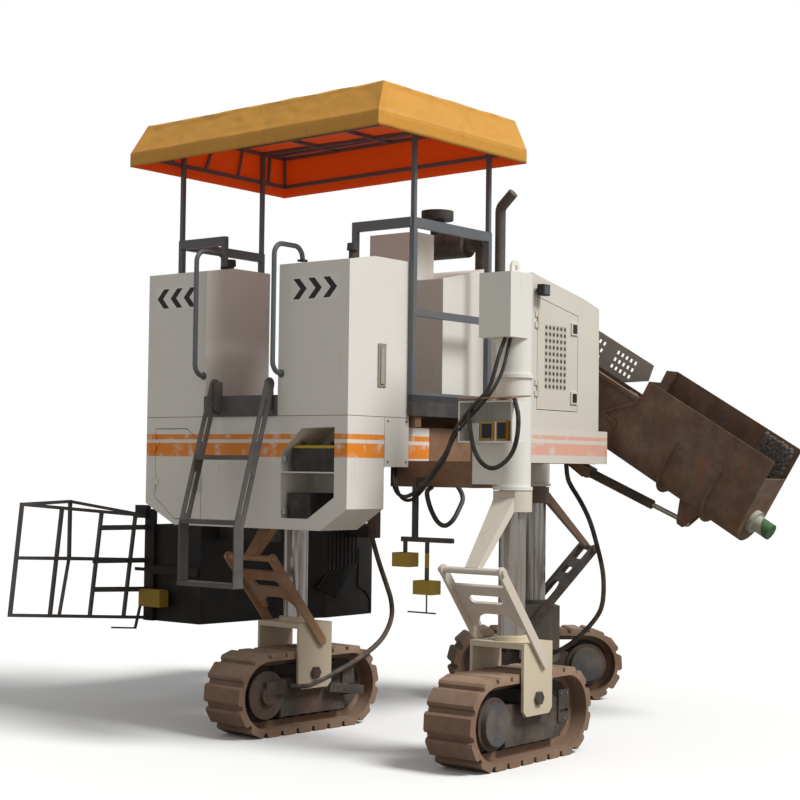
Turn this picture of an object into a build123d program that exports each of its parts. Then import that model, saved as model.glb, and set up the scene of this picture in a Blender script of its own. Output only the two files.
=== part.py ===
from build123d import *
import math
import os

# Slipform paver on three steered tracks, in millimetres: +X is the driving direction, +Y the left side and
# +Z up. It is laid out from its rear right corner: X = 0 is the rear face of the cabinets, Y = 0 their right
# side and Z = 0 the ground. At the end all pieces move so that the bottom centre of the whole machine is 0.

# Cabinets
CAB_W = 2100.0          # both cabinets and the passage between them
CAB_RIGHT_W = 689.0
CAB_LEFT_W = 650.0
CAB_LEN = 726.0
LOW_LEN = 430.0         # the lower cabinet is shorter than the upper ones
CAB_BOTTOM_Z = 1632.0
CAB_SIDE_Z = 1796.0     # where the sloping bottom corners start
CAB_SEAM_Z = 2482.0
CAB_TOP_Z = 3675.0
CAB_REAR_Z = 3625.0
CAB_RISE_LEN = 293.0
CHAMFER_RIGHT = 252.0
CHAMFER_LEFT = 329.0
WALL = 30.0
SIDE_PANEL_Z = 2108.0
SIDE_PANEL_T = 20.0
LOCKER_DEPTH = 380.0
LOCKER = ((123.0, 2397.0), (446.0, 2387.0), (648.0, 2200.0), (648.0, 1715.0), (377.0, 1715.0), (123.0, 1879.0))
DOORWAY_IN = ((101.0, 2392.0), (455.0, 2392.0), (622.0, 2285.0), (622.0, 1676.0), (328.0, 1676.0),
              (101.0, 1845.0))
DOORWAY = [(CAB_W - inward, z) for inward, z in DOORWAY_IN]
SHELF_Z = 2055.0
SHELF_T = 10.0
DOOR_T = 18.0
DOOR_GAP = 6.0
HINGE_R = 10.0
HINGE_PIN_R = 5.0
HINGE_LEAF = 40.0
KNUCKLE = 45.0
CAB_HINGE_Z = (1900.0, 2210.0)
LATCH_IN = (530.0, 612.0)          # of the cabinet door, from the left side
LATCH_Z = (1894.0, 2010.0)
LATCH_T = 24.0

# Frame and engine deck
FRAME_Z = (2157.0, 2437.0)
RAIL_W = 120.0
RAIL_RIGHT_Y = 60.0
RAIL_LEFT_Y = CAB_W - 180.0
CROSS_X = ((LOW_LEN, 560.0), (1700.0, 1820.0), (3020.0, 3140.0))
BEARER_X = (800.0, 1500.0)
BEARER_W = 80.0
DECK_X = (1984.0, 3180.0)
DECK_Y = (-284.0, CAB_W - 40.0)
DECK_WALL = 20.0
HOOD_X = (1984.0, 3030.0)
HOOD_Y = (-284.0, CAB_W - 400.0)
HOOD_WALL = 40.0
HOOD_TOP = ((1984.0, 3705.0), (2790.0, 3556.0), (3030.0, 3492.0))
HOOD_DOOR_X = (2060.0, 2690.0)
HOOD_DOOR_Z = (2590.0, 3520.0, 3405.0)     # bottom, top at the rear edge, top at the front edge
HOOD_HINGE_Z = (2700.0, 3260.0)
VENT_AT = (2340.0, 3030.0)
VENT_HOLES = (6, 10)
VENT_PITCH = (57.0, 54.0)
VENT_R = 9.0
PADDLE_X = (2572.0, 2676.0)
PADDLE_Z = ((3237.0, 3340.0), (2655.0, 2757.0))
PADDLE_T = 12.0
ENGINE = ((2150.0, 2850.0), (300.0, 1400.0), 800.0)
FRONT_BEAM_Y = (150.0, 410.0)
FRONT_BEAM_TOP = 2380.0

# Passage, platform, rails and canopy
SILL_X = (-20.0, 180.0)
SILL_TOP = 2640.0
FLOOR_X = (732.0, 1740.0)
FLOOR_Y = (-52.0, CAB_W + 400.0)
FLOOR_Z = (2500.0, 2610.0)
POST = 44.0
CANOPY_POST = 34.0
POST_X = (722.0, 1716.0)
POST_Y = (-28.0, CAB_W + 370.0)
RAIL_TOP_Z = 4018.0
RAIL_H = 75.0
MID_RAIL_Z = 3290.0
MID_RAIL_H = 55.0
LOW_RAIL_H = 72.0
REAR_RAIL_Y = (530.0, CAB_W - 150.0)      # where the rear rails end and stand on the cabinets
CANOPY_EAVE_Z = 4580.0
CANOPY_TOP_Z = 4955.0
CANOPY_HEM = 110.0
CANOPY_SKIN = 12.0
CANOPY_GAP = 8.0        # between the cloth and its tubes
# Corners of the canopy, counter-clockwise from the rear right one:
# its post's x and y, then how far hem and top lie beyond that post in x and y
CANOPY_CORNERS = (
    (POST_X[0], POST_Y[0], -722.0, -222.0, -542.0, -122.0),
    (POST_X[1], POST_Y[0], 164.0, -257.0, 174.0, -132.0),
    (POST_X[1], POST_Y[1], 364.0, 60.0, 334.0, 40.0),
    (POST_X[0], POST_Y[1], -562.0, 60.0, -387.0, 40.0),
)
LONG_BARS_AT = (0.25, 0.5, 0.75)
CROSS_BARS_AT = (0.09, 0.62, 0.9)
STIFFENERS_AT = (0.22, 0.44, 0.66, 0.88)
TUBE = 30.0
HANDRAIL_R = 19.0
HANDRAIL_OUT = 100.0
HANDRAIL_Z = (2800.0, 3780.0)
HANDRAIL_X = 220.0
HANDRAIL_BEND = 90.0
HANDRAIL_Y = (CAB_RIGHT_W - 34.0, CAB_W - CAB_LEFT_W + 20.0)
HANDRAIL_FOOT_R = 38.0
CONSOLE = ((1400.0, 1660.0), (480.0, 950.0), (FLOOR_Z[1], 4030.0))
REAR_BODY_X = (1350.0, 1964.0)
REAR_BODY_Y = (150.0, 1500.0)
REAR_BODY_Z = (3620.0, 3760.0)     # the top slopes up from its rear to its front edge

# Tracks and legs; a leg's own x runs forward along its track, its knee lies to the rear
TRACK_L = 1560.0
TRACK_W = 400.0
TRACK_H = 650.0
SHOE_LEN = 142.0
SHOE_GAP = 29.0         # the shoes stand about this far apart, as their number allows
SHOE_FLAT = 108.0
SHOE_BEVEL = 16.0
SHOE_T = 42.0
CHAIN_T = 20.0
LINK_T = 48.0
LINK_W = 150.0
WHEEL_R = TRACK_H / 2 - SHOE_T - CHAIN_T - LINK_T - 0.3
AXLE_R = 60.0
SPROCKET_W = 80.0
DISC_R = 186.0
DISC_T = 15.0
HUB_R = 72.0
HUB_T = 34.0
IDLER_W = 70.0
ROLLER_R = 55.0
ROLLER_W = 190.0
ROLLER_COUNT = 5
BOX_X = (-TRACK_L / 2 + 490.0, TRACK_L / 2 - 350.0)
ROLLER_PITCH = (BOX_X[1] - BOX_X[0] - 160.0) / (ROLLER_COUNT - 1)
BOX_Z = (215.0, 435.0)
BOX_W = 300.0
CHEEK_T = 20.0
TENSION_PLATE = ((-70.0, 70.0), 15.0, (250.0, 480.0))      # x about the idler's axle, thickness, z
TENSION_SLOT = (120.0, 26.0)
GUARD_BAR = (-265.0, 340.0, 130.0, 281.0, 76.0, 15.0)       # x and z of both ends about the axle, height, thickness
PIN_HEAD_R = 52.0
YOKE_GAP = 13.0
YOKE_T = 22.0
YOKE_X = 185.0
YOKE_BOTTOM_Z = 350.0
YOKE_TOP_Z = 865.0
YOKE_PIN_Z = 470.0
YOKE_PIN_R = 32.0
COLUMN_R = 98.0
COLUMN_BORE = 99.0
COLUMN_TOP_Z = 2350.0
RING_R = 142.0
RING_Z = (1795.0, 1944.0)
RING_FLAT = 36.0
HOUSING_R = 131.0
HOUSING_BOTTOM_Z = 1950.0
HOUSING_BAND_Z = 2765.0
BAND_H = 26.0
BAND_OUT = 14.0
EYE_BORE_R = 22.0
EYE_PLATE_T = 20.0
KNEE_X = -500.0
KNEE_Z = 1385.0
KNEE_R = 24.0
FOOT_X = 60.0
FOOT_Z = 720.0
LINK_PLATE_T = 22.0
LINK_PLATE_W = 75.0
LINK_CLEAR = 5.0
ARM_TOP_W = 180.0
ARM_KNEE_W = 110.0
ARM_Z = (1800.0, 1900.0)
BRACKET_X = (640.0, 900.0)
BRACKET_Z = (1990.0, 2440.0)
PLATE_Y = (-660.0, -640.0)
OUTRIGGER_X = (740.0, 940.0)
OUTRIGGER_Z = 1960.0
# name, x, y, heading in degrees, side of the drive motor, top of the housing
LEGS = (
    ("right", 770.0, -930.0, 0.0, 1, 3530.0),
    ("rear", 790.0, 1180.0, -4.0, -1, 2415.0),
    ("front", 3650.0, 760.0, 135.5, -1, 2500.0),
)

# Ladder at the passage
LADDER_TOP = (-60.0, 2720.0)
LADDER_FOOT = (-370.0, 1650.0)
LADDER_Y = (CAB_RIGHT_W + 31.0, CAB_W - CAB_LEFT_W - 160.0)
LADDER_PLATE_W = 100.0
LADDER_PLATE_T = 12.0
LADDER_STRAP_Z = 1235.0
LADDER_PIN_R = 12.0
SILL_GAP = 5.0
TREAD_D = 110.0
TREAD_T = 35.0
TREAD_AT = (0.52, 0.97)

# Conveyor across the front; its own frame has x along the screw, down and out to the right
TROUGH_X = (3320.0, 3720.0)
TROUGH_PLATE = 10.0
HOPPER_SLOPE = 30.5
HOPPER_CORNER = (-227.0, 2216.0)   # y and z of the hopper's lower inner corner
HOPPER_LEN = 1355.0
HOPPER_H = 765.0
FAR_WALL_RISE = 120.0
TROUGH_LEN = 1250.0
TROUGH_H = 540.0
NEAR_H = 600.0          # the near wall of the trough is higher
RIM = 32.0
STIFFENER = (30.0, 12.0)
# u and v of the ends of the bars on the trough's near wall
NEAR_BARS = (((-267.0, 309.0), (3.0, 566.0)), ((-282.0, 300.0), (-109.0, 300.0)), ((-109.0, 300.0), (-103.0, 238.0)))
GUARD = ((-904.0, TROUGH_H), (-904.0, 818.0), (-234.0, 818.0), (-211.0, 672.0), (-420.0, TROUGH_H))
GUARD_HOLE = (26.0, 34.0)
GUARD_PITCH = (51.0, 68.0)
GUARD_HOLES = ((-806.0, 676.0, 2, 3), (-510.0, 676.0, 5, 3))     # middle u and v, columns, rows
RIB_OUT = 45.0
PIVOT = (330.0, 2480.0)
PIVOT_R = 25.0
SCREW_R = 150.0
SCREW_SHAFT_R = 38.0
SCREW_PITCH = 300.0
SCREW_T = 12.0
END_PLATE_H = 600.0
RIB_AT = (500.0, 980.0)
RIB_H = 460.0
CYL_BASE = (100.0, 2085.0)
CYL_EYE = (-853.0, 1676.0)
CYL_R = 42.0
ROD_R = 22.0
BARREL_LEN = 700.0
BASE_W = 100.0
BASE_R = 50.0
BASE_PIN_R = 20.0
EYE_W = 50.0
EYE_R = 48.0
EYE_PIN_R = 14.0
EYE_PLAY = 19.0                    # the eye stands free of its pin, because the real pivot would close the loop
LUG_T = 15.0
LUG_R = 45.0
PIVOT_GAP = 230.0
SIDE_GAP = 5.0

# Mould hung on the left side, step cage behind it
MOULD_X = (1300.0, 3300.0)
MOULD_Y = (CAB_W + 320.0, CAB_W + 1330.0)
MOULD_Z = (690.0, 1560.0)
MOULD_WALL = 40.0
# how far the right wall's corners stand in from the rear end and from the right side
MOULD_STEP = ((0.0, 340.0), (750.0, 260.0), (1330.0, 0.0))
END_POST = (38.0, 120.0, 1700.0)    # thickness, width, top
CHANNEL_Z = (1112.0, 1190.0)
CLAMP_Z = (1134.0, 1163.0)
FITTING_Z = (1616.0, 1734.0)
FITTING_Y = (-26.0, 120.0)          # from the mould's left side
FITTING_OUT = 22.0
FLUTES = 8
FLUTE_R = 13.0
FLUTE_X = (2660.0, 3064.0)
FLUTE_Z = (1490.0, 1121.0, 1171.0)      # top, knee of the first and of the last
FLUTE_FOOT = ((2494.0, 965.0), (2749.0, 878.0))
MOULD_END = ((3288.0, 1330.0), (3086.0, 1330.0), (3081.0, 963.0), (3190.0, 915.0), (3269.0, 833.0), (3272.0, 700.0),
             (3288.0, 700.0))
CAGE_TUBE = 28.0
# z where the near panel's three bars start at the rear and end at the post
CAGE_LEVELS = ((1762.0, 1637.0), (1315.0, 1237.0), (840.0, 715.0))
CAGE_LEN = 1584.0
CAGE_SKEW = (-150.0, -10.0)             # y of the near panel's ends, from the mould's left side
CAGE_UPRIGHTS = ((-1544.0, -1653.0), (-1078.0, -1197.0), (-589.0, -715.0), (-150.0, -284.0))
CAGE_FAR = (-562.0, 390.0, 1763.0, 1253.0)
CAGE_BRACE = -1087.0
RUNGS = ((-610.0, 1542.0, 1533.0), (-689.0, 1255.0, 1233.0), (-692.0, 1005.0, 970.0))
RUNG_H = 45.0
RUNG_T = 10.0


def box(x, y, z):
    """A block between two x, two y and two z values."""
    middle = Pos((x[0] + x[1]) / 2, (y[0] + y[1]) / 2, (z[0] + z[1]) / 2)
    return middle * Box(abs(x[1] - x[0]), abs(y[1] - y[0]), abs(z[1] - z[0]))


def prism_xz(points, y):
    """A side outline of (x, z) points carried from one y to another."""
    face = make_face(Polyline(*[(px, y[0], pz) for px, pz in points], close=True))
    return extrude(face, amount=y[1] - y[0], dir=(0, 1, 0))


def prism_yz(points, x):
    """A rear outline of (y, z) points carried from one x to another."""
    face = make_face(Polyline(*[(x[0], py, pz) for py, pz in points], close=True))
    return extrude(face, amount=x[1] - x[0], dir=(1, 0, 0))


def bar(p, q, w, h):
    """A straight rectangular bar from p to q, w wide sideways and h high."""
    along = Vector(*q) - Vector(*p)
    side = Vector(0, 0, 1).cross(along)
    side = side if side.length > 1e-6 else Vector(0, 1, 0)
    plane = Plane(origin=p, x_dir=side, z_dir=along)
    return extrude(plane * Rectangle(w, h), amount=along.length)


def rod(p, q, r):
    """A round bar from p to q."""
    along = Vector(*q) - Vector(*p)
    return extrude(Plane(origin=p, z_dir=along) * Circle(r), amount=along.length)


def fuse(solids):
    """All solids as one."""
    first, *rest = solids
    return first.fuse(*rest) if rest else first


def hinge(x, y, z, inward, side):
    """A butt hinge on a vertical pin: the fixed half with its pin, and the moving half.

    inward points from the pin to the wall it lies on, side along the wall to the moving leaf.
    """
    fixed, moving = [], []
    for i in range(3):
        z0 = z + i * (KNUCKLE + 0.3)
        half = moving if i == 1 else fixed
        sign = 1 if i == 1 else -1
        knuckle = rod((x, y, z0), (x, y, z0 + KNUCKLE), HINGE_R)
        reach = Vector(*side) * sign * HINGE_LEAF
        depth = Vector(*inward) * HINGE_R
        low = Vector(x, y, z0)
        corners = [low, low + reach, low + reach + depth, low + depth]
        leaf = extrude(make_face(Polyline(*[tuple(c) for c in corners], close=True)), amount=KNUCKLE, dir=(0, 0, 1))
        half.append(knuckle + leaf)
    pin = rod((x, y, z - 3), (x, y, z + 3 * KNUCKLE + 3.6), HINGE_PIN_R)
    bore = rod((x, y, z - 3), (x, y, z + 3 * KNUCKLE + 3.6), HINGE_PIN_R + 0.3)
    return fuse([*fixed, pin]), fuse(moving) - bore


nodes = {}


# Lower cabinet: a folded body with an open locker on the right and a recess behind the door on the left
def lower_cabinet():
    outline = ((0, CAB_SEAM_Z), (0, CAB_SIDE_Z), (CHAMFER_RIGHT, CAB_BOTTOM_Z),
               (CAB_W - CHAMFER_LEFT, CAB_BOTTOM_Z), (CAB_W, CAB_SIDE_Z), (CAB_W, CAB_SEAM_Z))
    body = prism_yz(outline, (0, LOW_LEN))
    body -= prism_yz(LOCKER, (-1, LOCKER_DEPTH))
    body -= prism_yz(DOORWAY, (-1, LOCKER_DEPTH))
    shelf = box((0, LOCKER_DEPTH), (LOCKER[0][0], LOCKER[2][0]), (SHELF_Z, SHELF_Z + SHELF_T))
    panels = [box((LOW_LEN, CAB_LEN), y, (SIDE_PANEL_Z, CAB_SEAM_Z))
              for y in ((0, SIDE_PANEL_T), (CAB_W - SIDE_PANEL_T, CAB_W))]
    return fuse([body, shelf, *panels])


nodes["lower_cabinet"] = lower_cabinet()
door_face = offset(make_face(Polyline(*[(0, y, z) for y, z in DOORWAY], close=True)), amount=-DOOR_GAP)
nodes["cabinet_door"] = extrude(door_face, amount=DOOR_T, dir=(1, 0, 0))
hinge_y = DOORWAY[0][0] - DOOR_GAP / 2
for z in CAB_HINGE_Z:
    fixed, moving = hinge(-HINGE_R, hinge_y, z, (1, 0, 0), (0, -1, 0))
    nodes["lower_cabinet"] += fixed
    nodes["cabinet_door"] += moving
nodes["cabinet_door"] += box((-LATCH_T, 0), (CAB_W - LATCH_IN[1], CAB_W - LATCH_IN[0]), LATCH_Z)
CASE_X = (60.0, 340.0)
nodes["locker_cases"] = Compound([
    box(CASE_X, (170, 590), (SHELF_Z + SHELF_T, SHELF_Z + SHELF_T + 175)),
    box(CASE_X, (400, 630), (LOCKER[3][1], LOCKER[3][1] + 190)),
])


# Upper cabinets: two closed sheet bodies with a top that rises from the rear
def upper_cabinet(y):
    def side(wall):
        return ((wall, CAB_SEAM_Z + wall), (CAB_LEN - wall, CAB_SEAM_Z + wall), (CAB_LEN - wall, CAB_TOP_Z - wall),
                (CAB_RISE_LEN, CAB_TOP_Z - wall), (wall, CAB_REAR_Z - wall))
    return prism_xz(side(0), y) - prism_xz(side(WALL), (y[0] + WALL, y[1] - WALL))


nodes["upper_cabinet_right"] = upper_cabinet((0, CAB_RIGHT_W))
nodes["upper_cabinet_left"] = upper_cabinet((CAB_W - CAB_LEFT_W, CAB_W))

# Sill of the passage with the two ladder lugs and their pin
sill_y = (CAB_RIGHT_W + SILL_GAP, CAB_W - CAB_LEFT_W - SILL_GAP)
sill_parts = [box(SILL_X, sill_y, (CAB_SEAM_Z, SILL_TOP))]
for y, inward in zip(LADDER_Y, (1, -1)):
    near = y + inward * (LADDER_PLATE_T / 2 + SIDE_GAP)
    lug = sorted((near, near + inward * LUG_T))
    sill_parts.append(box((LADDER_TOP[0] - 28, SILL_X[0] + 20), lug, (SILL_TOP - 120, LADDER_TOP[1] + 28)))
    pin = sorted((near + inward, y - inward * (LADDER_PLATE_T / 2 + 6)))
    sill_parts.append(rod((LADDER_TOP[0], pin[0], LADDER_TOP[1]), (LADDER_TOP[0], pin[1], LADDER_TOP[1]), LADDER_PIN_R))
    across = Vector(LADDER_TOP[1] - LADDER_FOOT[1], 0, LADDER_FOOT[0] - LADDER_TOP[0]).normalized()
    down = Vector(-across.Z, 0, across.X) * -1
    seat = Vector(LADDER_TOP[0], y, LADDER_TOP[1]) + down * 200 + across * (LADDER_PLATE_W / 2 + 0.3)
    sill_parts.append(rod(tuple(seat), tuple(seat + across * 60), 10))
nodes["ladder_sill"] = fuse(sill_parts)


# Ladder: two slotted plates, two treads, and a last tread hung on straps
def ladder():
    top = Vector(LADDER_TOP[0], 0, LADDER_TOP[1])
    foot = Vector(LADDER_FOOT[0], 0, LADDER_FOOT[1])
    along = (foot - top).normalized()
    across = Vector(along.Z, 0, -along.X)
    length = (foot - top).length

    def at(s, w, y):
        p = top + along * s + across * w
        return (p.X, y, p.Z)

    parts = []
    for y in LADDER_Y:
        plane = Plane(origin=at(length / 2, 0, y - LADDER_PLATE_T / 2), x_dir=along, z_dir=(0, 1, 0))
        outline = SlotOverall(length + LADDER_PLATE_W, LADDER_PLATE_W)
        for centre in (-0.24, 0.27):
            outline -= Pos(centre * length, 0) * SlotOverall(0.3 * length, 22)
        outline -= Pos(-length / 2, 0) * Circle(LADDER_PIN_R + 0.5)
        parts.append(extrude(plane * outline, amount=LADDER_PLATE_T))
    inner_y = (LADDER_Y[0] + LADDER_PLATE_T / 2, LADDER_Y[1] - LADDER_PLATE_T / 2)
    for share in TREAD_AT:
        x, _, z = at(share * length, 0, 0)
        parts.append(box((x - TREAD_D / 2, x + TREAD_D / 2), inner_y, (z - TREAD_T / 2, z + TREAD_T / 2)))
    foot_x = LADDER_FOOT[0]
    for y in LADDER_Y:
        parts.append(box((foot_x - 50, foot_x + 50), (y - 5, y + 5), (LADDER_STRAP_Z, LADDER_FOOT[1])))
    parts.append(box((foot_x - TREAD_D / 2, foot_x + TREAD_D / 2), (LADDER_Y[0] - 5, LADDER_Y[1] + 5),
                     (LADDER_STRAP_Z - TREAD_T, LADDER_STRAP_Z)))
    return fuse(parts)


nodes["ladder"] = ladder()


# Handrails: each one bent tube from the rear face over the edge to the top of its cabinet
def handrail(y):
    points = ((0, y, HANDRAIL_Z[0]), (-HANDRAIL_OUT, y, HANDRAIL_Z[0]), (-HANDRAIL_OUT, y, HANDRAIL_Z[1]),
              (HANDRAIL_X, y, HANDRAIL_Z[1]), (HANDRAIL_X, y, CAB_TOP_Z))
    path = FilletPolyline(*points, radius=(HANDRAIL_BEND, HANDRAIL_BEND, HANDRAIL_BEND))
    return sweep(Plane(origin=points[0], z_dir=(-1, 0, 0)) * Circle(HANDRAIL_R), path)


nodes["handrails"] = Compound([handrail(y) for y in HANDRAIL_Y])


# Main frame: rails, cross members, bearers of the platform, outriggers of the three legs
def main_frame():
    parts = []
    for y in (RAIL_RIGHT_Y, RAIL_LEFT_Y):
        parts.append(box((LOW_LEN, DECK_X[1] - DECK_WALL), (y, y + RAIL_W), (FRAME_Z[0], FRAME_Z[1] - DECK_WALL)))
    for x in CROSS_X:
        parts.append(box(x, (RAIL_RIGHT_Y, RAIL_LEFT_Y + RAIL_W), (FRAME_Z[0], FRAME_Z[1] - DECK_WALL)))
    for x in BEARER_X:
        parts.append(box((x - BEARER_W / 2, x + BEARER_W / 2), (FLOOR_Y[0] + 20, FLOOR_Y[1] - 20),
                         (FRAME_Z[1] - DECK_WALL, FLOOR_Z[0])))
    parts.append(box(OUTRIGGER_X, (PLATE_Y[1], RAIL_RIGHT_Y + RAIL_W), (OUTRIGGER_Z, FRAME_Z[0])))
    plate = box((BRACKET_X[0], OUTRIGGER_X[1]), PLATE_Y, (OUTRIGGER_Z, BRACKET_Z[1] + 20))
    lug_y = (PLATE_Y[0] - 4, PLATE_Y[1] + 4)
    plate -= rod((BRACKET_X[0] + 34, lug_y[0], 2167), (BRACKET_X[0] + 34, lug_y[1], 2167), 13)
    parts.append(plate)
    rear_x, rear_y = LEGS[1][1:3]
    front_x, front_y = LEGS[2][1:3]
    parts.append(box((rear_x - 100, rear_x + 100), (RAIL_RIGHT_Y, RAIL_LEFT_Y), (FRAME_Z[0], FRAME_Z[1] - DECK_WALL)))
    parts.append(box((DECK_X[1], front_x - 40), (front_y - 120, front_y + 120), FRAME_Z))
    parts.append(box((DECK_X[1], TROUGH_X[1]), FRONT_BEAM_Y, (FRAME_Z[0], FRONT_BEAM_TOP)))
    body = fuse(parts)
    for _, x, y, _, _, top in LEGS[1:]:
        body -= rod((x, y, HOUSING_BOTTOM_Z), (x, y, top + 0.3), HOUSING_R + 0.3)
    return body


nodes["main_frame"] = main_frame()

# Engine deck: an apron open below, with the hood on it
deck = box(DECK_X, DECK_Y, FRAME_Z)
deck -= box((DECK_X[0] - 1, DECK_X[1] - DECK_WALL), (DECK_Y[0] + DECK_WALL, DECK_Y[1] - DECK_WALL),
            (FRAME_Z[0] - 1, FRAME_Z[1] - DECK_WALL))
nodes["engine_deck"] = deck


# Engine hood: one sheet body with sloping top, open where the side door sits
def hood():
    def side(wall):
        (x0, z0), (x1, z1), (x2, z2) = HOOD_TOP
        return ((x0 + wall, FRAME_Z[1] - (wall > 0)), (x2 - wall, FRAME_Z[1] - (wall > 0)), (x2 - wall, z2 - wall),
                (x1, z1 - wall), (x0 + wall, z0 - wall))
    body = prism_xz(side(0), HOOD_Y) - prism_xz(side(HOOD_WALL), (HOOD_Y[0] + HOOD_WALL, HOOD_Y[1] - HOOD_WALL))
    return body - prism_xz(DOOR_OUTLINE, (HOOD_Y[0] - 1, HOOD_Y[0] + HOOD_WALL + 1))


DOOR_OUTLINE = ((HOOD_DOOR_X[0], HOOD_DOOR_Z[0]), (HOOD_DOOR_X[1], HOOD_DOOR_Z[0]),
                (HOOD_DOOR_X[1], HOOD_DOOR_Z[2]), (HOOD_DOOR_X[0], HOOD_DOOR_Z[1]))
nodes["engine_hood"] = hood()
door_face = offset(make_face(Polyline(*[(x, HOOD_Y[0], z) for x, z in DOOR_OUTLINE], close=True)),
                   amount=-DOOR_GAP)
vent_plane = Plane(origin=(VENT_AT[0], HOOD_Y[0], VENT_AT[1]), x_dir=(1, 0, 0), z_dir=(0, -1, 0))
vent = [vent_plane * place * RegularPolygon(VENT_R, 6) for place in GridLocations(*VENT_PITCH, *VENT_HOLES)]
nodes["engine_door"] = extrude(door_face, amount=DOOR_T, dir=(0, 1, 0))
nodes["engine_door"] -= [extrude(hole, amount=DOOR_T + 1, dir=(0, 1, 0)) for hole in vent]
for z in PADDLE_Z:
    nodes["engine_door"] += box(PADDLE_X, (HOOD_Y[0] - PADDLE_T, HOOD_Y[0]), z)
hinge_x = HOOD_DOOR_X[0] + DOOR_GAP / 2
for z in HOOD_HINGE_Z:
    fixed, moving = hinge(hinge_x, HOOD_Y[0] - HINGE_R, z, (0, 1, 0), (1, 0, 0))
    nodes["engine_hood"] += fixed
    nodes["engine_door"] += moving
nodes["engine_block"] = box(ENGINE[0], ENGINE[1], (FRAME_Z[1], FRAME_Z[1] + ENGINE[2]))

# Body between platform and hood, the tall console, air cleaner and exhaust
(bx0, bx1), (bz0, bz1) = REAR_BODY_X, REAR_BODY_Z
nodes["rear_body"] = prism_xz(((bx0, FLOOR_Z[1]), (bx1, FLOOR_Z[1]), (bx1, bz1), (bx0, bz0)), REAR_BODY_Y)
nodes["rear_body"] -= box(CONSOLE[0], (CONSOLE[1][0] - 2, CONSOLE[1][1] + 2), (FLOOR_Z[1] - 1, bz1))
nodes["rear_body"] = nodes["rear_body"].solids().sort_by(SortBy.VOLUME)[-1]
nodes["operator_console"] = box(*CONSOLE)
AIR_X = 2200.0
AIR_Z = 4020.0
nodes["air_cleaner"] = fuse([
    rod((AIR_X, 520, AIR_Z), (AIR_X, 930, AIR_Z), 115),
    rod((AIR_X, 850, AIR_Z), (AIR_X, 850, AIR_Z + 230), 60),
    rod((AIR_X, 850, AIR_Z + 230), (AIR_X, 850, AIR_Z + 310), 140),
    rod((AIR_X, 320, AIR_Z), (AIR_X, 520, AIR_Z), 70),
    rod((AIR_X, 360, AIR_Z), (AIR_X, 360, 3600), 69),
])
EXHAUST = ((2350.0, 290.0, 3590.0), 4330.0, 45.0)
(ex, ey, ez), etop, er = EXHAUST
pipe_path = FilletPolyline((ex, ey, ez), (ex, ey, etop), (ex, ey - 130, etop + 120), radius=80)
nodes["exhaust_pipe"] = sweep(Plane(origin=(ex, ey, ez)) * Circle(er), pipe_path)
nodes["engine_hood"] -= rod((ex, ey, ez - 100), (ex, ey, etop), er + 0.3)
nodes["engine_hood"] -= rod((AIR_X, 360, 3500), (AIR_X, 360, AIR_Z), 69 + 0.3)

# Platform floor with its kick plates
floor_parts = [box(FLOOR_X, FLOOR_Y, FLOOR_Z)]
for y in ((FLOOR_Y[0], -4.0), (CAB_W + 4.0, FLOOR_Y[1])):
    floor_parts.append(box((POST_X[0] - POST / 2, FLOOR_X[0]), y, FLOOR_Z))
floor_parts.append(box((SILL_X[1] + 0.3, FLOOR_X[0]), sill_y, FLOOR_Z))
nodes["platform_floor"] = fuse(floor_parts)


# Guard rails: posts with top and middle rails, and rear rails that stand on the cabinets
def guard_rails(y, rear_y, mid):
    x0, x1 = POST_X
    z_top = RAIL_TOP_Z - RAIL_H / 2
    parts = [box((x - POST / 2, x + POST / 2), (y - POST / 2, y + POST / 2), (FLOOR_Z[1], RAIL_TOP_Z))
             for x in POST_X]
    parts.append(bar((x0, y, z_top), (x1, y, z_top), POST, RAIL_H))
    if mid:
        parts.append(bar((x0, y, MID_RAIL_Z), (x1, y, MID_RAIL_Z), POST - 4, MID_RAIL_H))
    parts.append(bar((x0, y, FLOOR_Z[1] + LOW_RAIL_H / 2), (x1, y, FLOOR_Z[1] + LOW_RAIL_H / 2), POST - 4, LOW_RAIL_H))
    x_rear = CAB_LEN - POST / 2
    parts.append(bar((x_rear, y, z_top), (x_rear, rear_y, z_top), POST, RAIL_H))
    parts.append(box((x_rear - POST / 2, x_rear + POST / 2), (rear_y - POST / 2, rear_y + POST / 2),
                     (CAB_TOP_Z, RAIL_TOP_Z)))
    return fuse(parts)


nodes["guard_rails_right"] = guard_rails(POST_Y[0], REAR_RAIL_Y[0], True)
nodes["guard_rails_left"] = guard_rails(POST_Y[1], REAR_RAIL_Y[1], True)


# Canopy: a tarpaulin over a grid of thin tubes on the four posts
def inset(corners, gap):
    """A plan outline, counter-clockwise, with each edge moved in by gap."""
    moved = []
    for i, corner in enumerate(corners):
        p = Vector(*corner)
        before = (p - Vector(*corners[i - 1])).normalized()
        after = (Vector(*corners[(i + 1) % len(corners)]) - p).normalized()
        moved.append(p + (after - before) * (gap / before.cross(after).Z))
    return [(q.X, q.Y) for q in moved]


hem_corners = [(px + dx, py + dy) for px, py, dx, dy, _, _ in CANOPY_CORNERS]
top_corners = [(px + dx, py + dy) for px, py, _, _, dx, dy in CANOPY_CORNERS]


def plan_face(corners, z):
    return make_face(Polyline(*[(x, y, z) for x, y in corners], close=True))


def canopy_cover():
    hem_z = CANOPY_EAVE_Z + CANOPY_HEM
    skin = CANOPY_SKIN
    low, high = inset(hem_corners, skin), inset(top_corners, skin)
    outer = loft([plan_face(hem_corners, hem_z), plan_face(top_corners, CANOPY_TOP_Z)])
    outer += loft([plan_face(hem_corners, CANOPY_EAVE_Z), plan_face(hem_corners, hem_z)])
    inner = loft([plan_face(low, hem_z), plan_face(high, CANOPY_TOP_Z - skin)])
    inner += loft([plan_face(low, CANOPY_EAVE_Z - 1), plan_face(low, hem_z)])
    return outer - inner


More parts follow.
